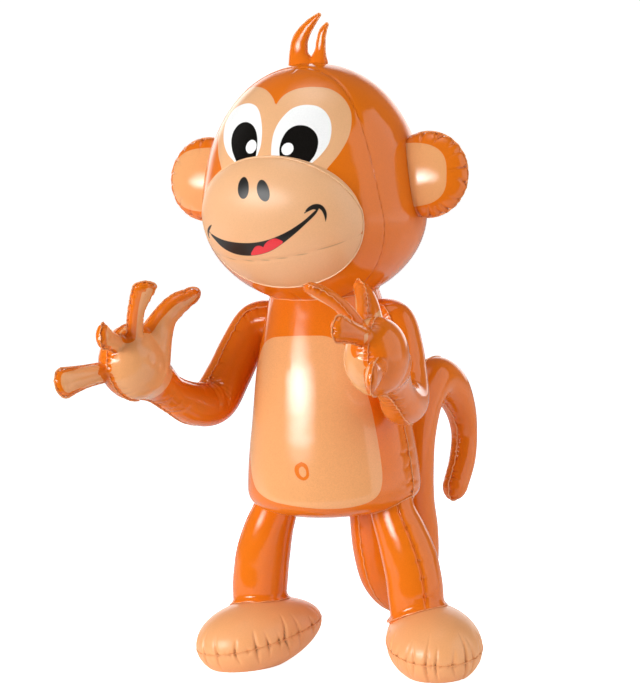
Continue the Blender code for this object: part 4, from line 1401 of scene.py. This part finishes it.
def softbox(name, azimuth, elevation, distance, width, height, power, edge=1.0, mirrored=True):
    """A studio light aimed at the middle of the monkey, in degrees, metres and watts.

    Its edge is that share of its middle's brightness, and a light that isn't mirrored stays out of the gloss.
    """
    light = bpy.data.lights.new(name, 'AREA')
    light.shape = 'RECTANGLE' if edge == 1.0 else 'ELLIPSE'
    light.size = width
    light.size_y = height
    light.energy = power
    light.use_nodes = True
    glow = light.node_tree
    spot = add(glow, "ShaderNodeNewGeometry", output="Parametric")
    spot = add(glow, "ShaderNodeVectorMath", {0: spot, 1: (0.5, 0.5, 0.0)}, operation='SUBTRACT')
    reach = add(glow, "ShaderNodeVectorMath", {0: spot}, output="Value", operation='LENGTH')
    fall = add(glow, "ShaderNodeMapRange", {0: reach, 1: 0.0, 2: 0.5, 3: 1.0, 4: edge},
               interpolation_type='SMOOTHSTEP')
    glow.links.new(fall, glow.nodes["Emission"].inputs["Strength"])
    lamp = bpy.data.objects.new(name, light)
    lamp.visible_glossy = mirrored
    bpy.context.collection.objects.link(lamp)
    back = away_from_monkey(azimuth, elevation)
    lamp.location = back * distance + Vector((0, 0, LIGHT_AIM_Z))
    lamp.rotation_mode = 'QUATERNION'
    lamp.rotation_quaternion = back.to_track_quat('Z', 'Y')


softbox("key softbox", -21, 9.5, 2.0, 2.4, 0.88, 108, 0.0)
softbox("side panel", 104, 10, 1.7, 2.0, 2.8, 19)
softbox("top softbox", 10, 88, 1.9, 1.6, 1.6, 14, 0.1)
# Bounce from the room's walls lights the film without showing in its gloss
softbox("front bounce", 0, 50, 2.0, 2.0, 2.0, 9, 1.0, False)
softbox("left bounce", 85, 15, 1.9, 2.0, 2.0, 9, 1.0, False)
softbox("right bounce", -70, 8, 1.9, 2.0, 2.0, 10, 1.0, False)

# Camera at the photograph's place: azimuth, elevation and roll in degrees
CAMERA_AZIMUTH = 26.0
CAMERA_ELEVATION = 6.8
CAMERA_ROLL = -2.8685
CAMERA_PLACE = Vector((1.1254, -2.3235, 0.6008))
CAMERA_LENS = 145.3
azimuth, roll = np.radians((CAMERA_AZIMUTH, CAMERA_ROLL))
right = Vector((np.cos(azimuth), np.sin(azimuth), 0))
back = away_from_monkey(CAMERA_AZIMUTH, CAMERA_ELEVATION)
up = back.cross(right)
camera_data = bpy.data.cameras.new("camera")
camera_data.sensor_width = 36
camera_data.lens = CAMERA_LENS
camera_data.clip_start = 0.05
camera = bpy.data.objects.new("camera", camera_data)
bpy.context.collection.objects.link(camera)
rolled_right = right * np.cos(roll) + up * np.sin(roll)
rolled_up = up * np.cos(roll) - right * np.sin(roll)
axes = Matrix((rolled_right, rolled_up, back)).transposed()
camera.matrix_world = Matrix.Translation(CAMERA_PLACE + Vector(BODY_AXIS)) @ axes.to_4x4()
bpy.context.scene.camera = camera
bpy.context.scene.view_settings.view_transform = 'Standard'
